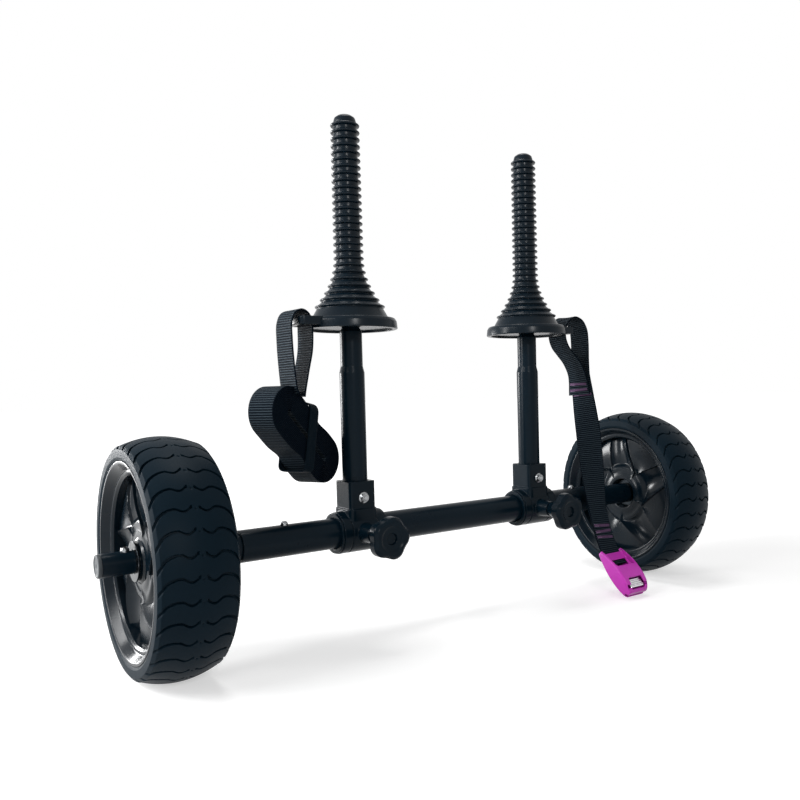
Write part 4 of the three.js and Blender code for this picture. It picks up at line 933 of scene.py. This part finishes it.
def ribbon_mesh(name, path, measured, across, width=WEBBING, thickness=1.9):
    """A flat strap along a path. across gives the direction of its width at each step."""
    ahead = unit(np.gradient(path, axis=0))
    face = unit(np.cross(ahead, across))
    side = np.cross(face, ahead)
    half, thick = width / 2, thickness / 2
    way = [(-half, 0.0), (-half + 0.25, -0.62), (-half + 0.9, -1.0), (-half + 3, -1.0), (0, -1.0),
           (half - 3, -1.0), (half - 0.9, -1.0), (half - 0.25, -0.62)]
    section = np.array(way + [(-u, -v) for u, v in way])
    rows = np.stack([path + side * u + face * v * thick for u, v in section], 1)
    mesh = mesh_of(name, rows, capped_faces(*rows.shape[:2]), 50, weld=False)
    measure_cloth(mesh, [(u, length) for length in measured for u in section[:, 0]])
    return mesh

# %% [markdown]
# ## Left strap
# The left strap hangs in the ear as a loop, and its two legs run into a tight flat roll that a band holds
# together. The roll is a spiral round a flat core. It has about twelve turns, so it holds a little over three
# metres of webbing.

# %% Left loop
def outboard(route, side):
    """A route drawn outwards from a post, moved to its place on one side."""
    return [(POST_X[side] + SIDES[side] * u, y, z) for u, y, z in route]

left_route = outboard([
    (84.5, 0, 309.5), (86.4, 0, 318), (89, 0, 345), (90.5, 0, 375), (90, 0, 395), (85, 0, 406.5),
    (76.5, 0, 410.5), (68.5, 0, 407), (63.4, 0, 397), (62.9, 0, 384), (64, 0, 362), (69, 0, 338),
    (74, 0, 313), (75, 0, 306)], "left")
path, measured = smooth_path(left_route, 1.5)
yaw = np.radians(np.linspace(-6.5, -1.0, len(path)))
across = np.stack([np.sin(yaw), np.cos(yaw), np.zeros_like(yaw)], 1)
left_loop = set_down("left_webbing_loop", ribbon_mesh("left loop", path, measured, across), "strap webbing",
                     "left_post", stands_for=["left_strap_loop"])

# %% Left roll
BAND_AT = 0.57  # the band's place, as a share of the way between the roll's two ends
roll_place = at(-234, 6, 0) @ Matrix.Rotation(math.radians(26), 4, "Z")
upper, reach, slope = np.array([-12.0, 288.0]), 89.0, math.radians(43)
down = np.array([math.cos(slope), -math.sin(slope)])
side_way = np.array([-down[1], down[0]])

def roll_path(turns=12, first=3.2, last=30.8, spacing=3.0, steps=64):
    """The spiral, in the roll's own plane, from the core outwards. The band draws in its waist."""
    points = []
    for step in range(turns * steps + 1):
        share = step / (turns * steps)
        radius = first + (last - first) * share
        t = (step / steps) % 1.0
        if t < 0.25:
            spot = reach * (t / 0.25) * down + side_way * radius
        elif t < 0.5:
            angle = (t - 0.25) / 0.25 * math.pi
            spot = reach * down + radius * (math.cos(angle) * side_way + math.sin(angle) * down)
        elif t < 0.75:
            spot = reach * (1 - (t - 0.5) / 0.25) * down - side_way * radius
        else:
            angle = (t - 0.75) / 0.25 * math.pi
            spot = radius * (-math.cos(angle) * side_way - math.sin(angle) * down)
        along_roll = spot @ down
        waist = 1 - 0.13 * math.exp(-((along_roll - BAND_AT * reach) / 15) ** 2) * share
        spot = upper + along_roll * down + (spot @ side_way) * waist * side_way
        points.append((spot[0], 0.0, spot[1]))
    return smooth_path(points, spacing)

path, measured = roll_path()
across = np.tile((0.0, 1.0, 0.0), (len(path), 1))
roll = set_down("left_rolled_webbing", ribbon_mesh("left roll", path, measured, across, 37.6, 1.8),
                "strap webbing", "left_post", roll_place, ["left_strap_roll"])

# %% Keeper band
def keeper_mesh():
    """The band round the roll, and its length."""
    middle = upper + down * reach * BAND_AT
    tilt = math.radians(11)
    up_way = np.array([math.sin(tilt), math.cos(tilt)])
    points = []
    for y, h in rounded([(-20.6, -40.5, 8), (20.6, -40.5, 8), (20.6, 45, 13), (-20.6, 45, 13)], True, 8):
        spot = middle + up_way * h
        points.append((spot[0], y, spot[1]))
    points = np.array(points + points[:1])
    path, measured = smooth_path(points, 2.0)
    wide = np.tile((math.cos(tilt), 0.0, -math.sin(tilt)), (len(path), 1))
    return ribbon_mesh("keeper", path, measured, wide, 17.0, 1.5), measured[-1]

keeper_shape, keeper_length = keeper_mesh()
keeper = set_down("left_keeper_band", keeper_shape, "keeper band", "left_post", roll_place,
                  ["left_strap_keeper"])
print("keeper band:", round(keeper_length), "mm")

# %% [markdown]
# ## Right strap
# The right strap goes through its ear, comes back on itself and is sewn down. Below the stitching both layers
# hang together and turn through a quarter before they reach the buckle. Dense rows of purple thread hold each
# end.

# %% Right strap
right_route = outboard([
    (96.5, -13, 299), (95, -12, 320), (92, -10, 336), (86, -7, 350), (77, -4, 362), (68, -1.5, 374),
    (63.6, -0.3, 387), (64, -0.3, 399), (69, -2, 411), (80, -6, 418), (92, -8, 413), (99.5, -10, 399),
    (101, -11, 380), (100.3, -12, 350), (99.6, -14, 325), (99.8, -17, 300), (101, -20, 275), (102, -25, 240),
    (101.5, -30, 205), (100, -36, 170), (98.5, -43, 135), (97, -52, 104), (95.8, -62, 80), (95.2, -67, 71.5),
    (95, -72.3, 62.2), (95, -76, 57.2), (95, -81.6, 51.5), (95, -88.6, 44.4)], "right")

def strap_across(height):
    """The width's direction turns from across the cart to along it on the way down."""
    share = np.clip((330 - height) / 205, 0, 1)
    angle = (share - 1) * math.pi / 2
    return np.stack([np.cos(angle), np.sin(angle), np.zeros_like(angle)], -1)

path, measured = smooth_path(right_route, 1.5)
right_strap = set_down("right_hanging_webbing",
                       ribbon_mesh("right strap", path, measured, strap_across(path[:, 2])), "strap webbing",
                       "right_post", stands_for=["right_strap"])

# %% Bar tacks
STITCHES = 64
THREAD = ((-1.9, -0.25), (-1.4, 0.45), (0.0, 0.65), (1.4, 0.45), (1.9, -0.25))  # a stitch's section

def bar_tack(name, low, high, lines):
    """Rows of zigzag stitches wrapped a hair above the strap, between two heights."""
    main, tail = path[int(len(path) * 0.45):], path[:int(len(path) * 0.08)][::-1]
    points, faces, marks = [], [], []
    for row_number, line in enumerate(np.linspace(high, low, lines)):
        for front in (-1, 1):
            hanging = tail if front > 0 and line > tail[:, 2].min() else main
            spot = int(np.argmin(np.abs(hanging[:, 2] - line)))
            ahead = unit(np.gradient(hanging, axis=0))[spot]
            face = unit(np.cross(ahead, strap_across(hanging[spot, 2])))
            side = np.cross(face, ahead)
            slant = 0.04 * (-1) ** row_number
            faces += (grid_faces(STITCHES, len(THREAD), False, False) + len(points)).tolist()
            for stitch, u in enumerate(np.linspace(-16, 16, STITCHES)):
                move = slant * u + 0.6 * (-1) ** stitch
                middle = hanging[spot] + side * u + face * front * 1.05 + ahead * move
                points += [middle + ahead * a + face * front * b for a, b in THREAD]
                marks += [(stitch, k * 0.4) for k in range(len(THREAD))]
    mesh = mesh_of(name, np.array(points), faces, 60, weld=False)
    measure_cloth(mesh, marks)
    return mesh

for end, low, high in (("upper", 299, 315), ("lower", 82, 99)):
    tack = bar_tack(f"{end} tack", low, high, 3)
    set_down(f"right_{end}_bar_tack", tack, "bar tack thread", "right_post")

# %% [markdown]
# ## Cam buckle
# The cover is a glossy moulding, open at the back for the strap, with a hood over the cam and a window for
# the lever. We loft it from rounded sections, cut its channel and windows, and give it the same even skin as
# the bracket. Inside sit the steel frame, the pin and the cam lever with its ridged thumb plate.

# %% Buckle cover
tilt = math.radians(45)
buckle_axes = Matrix(((0, -math.sin(tilt), -math.cos(tilt)), (1, 0, 0), (0, -math.sin(tilt), math.cos(tilt))))
buckle_place = at(250, -73, 62.7) @ buckle_axes.transposed().to_4x4()
LONG, WIDE, HALF_DEEP = 76.2, 48, 12
# Rows of (share of the length, share of the width, back and front as shares of the half depth).
sections = [(0, 0.90, -0.50, 0.33), (0.02, 0.93, -0.54, 0.37), (0.12, 0.97, -0.66, 0.55),
            (0.22, 0.985, -0.76, 0.70), (0.34, 1, -0.88, 0.87), (0.46, 1, -0.98, 0.97), (0.58, 1, -1, 1),
            (0.72, 0.98, -1, 0.98), (0.84, 0.94, -0.96, 0.85), (0.92, 0.89, -0.9, 0.64),
            (0.97, 0.84, -0.82, 0.42), (0.995, 0.80, -0.72, 0.22)]

rings = []
for share, wide, low, high in sections:
    outline = rounded_rectangle(wide * WIDE, (high - low) * HALF_DEEP, 3.8, 6)
    rings.append([(share * LONG, across, out + (high + low) * HALF_DEEP / 2) for across, out in outline])
rings = np.array(rings)
cover_body = mesh_of("cover body", rings, capped_faces(*rings.shape[:2]))
cuts = [box_mesh("entry", (-3, -20.7, -8), (5, 20.7, 24)),
        box_mesh("channel", (-3, -20.2, 1), (31, 20.2, 24)),
        box_mesh("cavity", (-3, -20.7, -8), (70, 20.7, -0.5)),
        box_mesh("hood hollow", (34, -20.7, -3), (70, 20.7, 9)),
        box_mesh("slot window", (17.5, -18.5, -3), (33.5, 18.5, 24)),
        box_mesh("lever window", (55.5, -14, 0), (72.5, 14, 24)),
        box_mesh("mouth", (67, -20.7, -8), (80, 20.7, -4))]
cover = moulded("buckle cover", cover_body, [], cuts, voxel=0.32, smooth=5, sharp=60)
print("buckle cover:", len(cover.vertices), "points")
set_down("buckle_shell", cover, "buckle plastic", "right_post", buckle_place, ["buckle_cover"])

# %% Buckle frame, pin and spring
PIN_X = 42  # the cam pin's place along the buckle
base = box_mesh("frame base", (6, -20.1, -7.7), (52, 20.1, -6.2))
ears = [box_mesh("frame ear", (35, y, -7.7), (50, y + 1.5, 5)) for y in (18.6, -20.1)]
pin_hole = rod_mesh("pin hole", "Y", 2.3, -30, 30, 32, x=PIN_X)
steel_frame = moulded("steel frame", base, ears, [pin_hole], sharp=30)
set_down("buckle_steel_frame", steel_frame, "stainless steel", "right_post", buckle_place, ["buckle_frame"])
pin = turned_solid("cam pin", [(-20.1, 0), (-20.1, 2, 0.4), (20.1, 2, 0.4), (20.1, 0)], "Y", 32)
set_down("buckle_pivot_pin", pin, "stainless steel", "right_post", buckle_place @ at(PIN_X),
         ["buckle_cam_pin"])

def coil_mesh():
    """The torsion spring: wire wound round the pin."""
    turns, wire_radius = 4, 0.45
    t = np.linspace(0, 2 * np.pi * turns, turns * 28)
    spine = np.stack([2.95 * np.cos(t), 12.8 + 2.9 * t / t[-1], 2.95 * np.sin(t)], 1)
    out = np.stack([np.cos(t), np.zeros_like(t), np.sin(t)], 1)
    third = np.cross(unit(np.gradient(spine, axis=0)), out)
    ring = np.linspace(0, 2 * np.pi, 8, endpoint=False)
    grid = np.stack([spine + wire_radius * (math.cos(a) * out + math.sin(a) * third) for a in ring], 1)
    return mesh_of("torsion spring", grid, capped_faces(*grid.shape[:2]), 60)

set_down("buckle_torsion_spring", coil_mesh(), "stainless steel", "right_post", buckle_place @ at(PIN_X),
         ["buckle_cam_spring"])
print("steel frame:", len(steel_frame.vertices), "points")

# %% Cam lever
cam = rod_mesh("cam", "Y", 5.2, -16.1, 11.9, 48, x=PIN_X, z=2.3)
side_view = [(46, 3.0), (46, 6.0), (66.8, 6.0), (69.0, 5.0), (69.1, 3.4), (68.4, 3.0)]
plate = block_mesh("thumb plate", side_view, -13.4, 13.4, "Y")
ridges = []
for step in range(4):
    ridge = turned_solid("ridge", [(-12.4, 0), (-12.4, 1.15, 0.5), (12.4, 1.15, 0.5), (12.4, 0)], "Y", 24)
    ridge.transform(at((57.2 + 2.9 * step) * MM, 0, 6.05 * MM))
    ridges.append(ridge)
lever_bore = rod_mesh("lever bore", "Y", 2.3, -30, 30, 32, x=PIN_X)
lever = moulded("cam lever", plate, [cam, *ridges], [lever_bore], voxel=0.22, smooth=3, sharp=60)
set_down("buckle_thumb_lever", lever, "chromed lever", "cam_lever", buckle_place, ["buckle_cam_lever"])
print("cam lever:", len(lever.vertices), "points")

# %% [markdown]
# ## Leaf springs
# The leaf springs behind the buttons are hidden in the tubes. Their plain shapes are right, so they stay,
# each with a mesh of its own, and get a proper steel finish. A real leaf spring flattens as its button goes
# down; here each keeps its shape at rest.

# %% Leaf springs in steel
for name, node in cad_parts.items():
    if name.endswith("_spring") and not node.hide_render:
        node.data.materials.clear()
        node.data.materials.append(finishes["stainless steel"])
        corners = [node.matrix_world @ Vector(corner) for corner in node.bound_box]
        foot, tip = min(c.z for c in corners), max(c.z for c in corners)
        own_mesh(node)
        print(name, "is", round(1000 * (tip - foot), 1), "mm high at rest")

# %% [markdown]
# ## Light and floor
# The cart was shot on white. The floor is pale and takes the cart's shadow. It brightens to plain white away
# from the cart and melts into the background, so that no horizon shows. That added white is only for the
# camera and for reflections and never lights the cart. The lamps stay at a plain level, so colours come out
# as they were written. Black parts are modelled by what they mirror, so most of the soft lamps stand to the
# left and behind, where the photograph's highlights ask for them.

# %% Floor and backdrop
def seen_rays(tree):
    """1 for rays of the camera, of reflections and through glass, and 0 for light on the cart."""
    rays = add_node(tree, "LightPath").outputs
    seen = maths(tree, "MAXIMUM", rays["Is Camera Ray"], rays["Is Glossy Ray"])
    return maths(tree, "MAXIMUM", seen, rays["Is Transmission Ray"])

floor_mesh = bpy.data.meshes.new("floor")
floor_mesh.from_pydata([(-30, -30, 0), (30, -30, 0), (30, 30, 0), (-30, 30, 0)], [], [(0, 1, 2, 3)])
tree, shader = new_material("studio floor")
distance = add_node(tree, "VectorMath")
distance.operation = "LENGTH"
tree.links.new(add_node(tree, "TexCoord").outputs["Object"], distance.inputs[0])
whitening = add_node(tree, "MapRange", Value=distance.outputs["Value"], From_Min=0.6, From_Max=2.6,
                     To_Min=0.52, To_Max=1.0)
whitening.interpolation_type = "SMOOTHSTEP"
glow = maths(tree, "MULTIPLY", seen_rays(tree), whitening.outputs["Result"])
feed(tree, shader, Base_Color=(0.62, 0.62, 0.62), Roughness=0.9, Specular_IOR_Level=0.0,
     Emission_Color=(1, 1, 1), Emission_Strength=glow)
floor_mesh.materials.append(finishes["studio floor"])
floor = bpy.data.objects.new("floor", floor_mesh)
bpy.context.collection.objects.link(floor)
print("floor whitens from 0.6 to 2.6 m")

# %% World
world = bpy.data.worlds.new("studio")
bpy.context.scene.world = world
world.use_nodes = True
tree = world.node_tree
PLAIN_LEVEL = 0.26
feed(tree, tree.nodes["Background"], Color=(1, 1, 1),
     Strength=maths(tree, "MULTIPLY_ADD", seen_rays(tree), 1 - PLAIN_LEVEL, PLAIN_LEVEL))
print("the surroundings light the cart at", PLAIN_LEVEL)

# %% Lamps
def soft_lamp(name, place, target, width, height, power):
    """A rectangular lamp in metres and watts that looks at a target."""
    lamp = bpy.data.lights.new(name, "AREA")
    lamp.shape = "RECTANGLE"
    lamp.size, lamp.size_y = width, height
    lamp.energy = power
    thing = bpy.data.objects.new(name, lamp)
    bpy.context.collection.objects.link(thing)
    look = (Vector(target) - Vector(place)).to_track_quat("-Z", "Y").to_matrix().to_4x4()
    thing.matrix_world = Matrix.Translation(place) @ look
    thing.visible_camera = False

soft_lamp("tall strip, left", (-2.45, 0.75, 0.9), (-0.15, 0, 0.3), 0.3, 1.3, 48)
soft_lamp("low window behind", (-1.15, 2.5, 0.45), (-0.38, 0, 0.15), 0.7, 0.5, 40)
soft_lamp("long window, left", (-1.85, 0.4, 1.5), (-0.42, 0.05, 0.1), 2.1, 0.26, 40)
soft_lamp("overhead", (0.1, 0.4, 2.6), (0, 0, 0.1), 0.8, 0.66, 20)
soft_lamp("small lamp by the camera", (-0.9, -2.4, 1.2), (0.1, 0, 0.25), 0.22, 0.22, 20)
print("lamps:", ", ".join(lamp.name for lamp in bpy.data.lights))

# %% [markdown]

# %% Colour view
bpy.context.scene.view_settings.view_transform = "Standard"
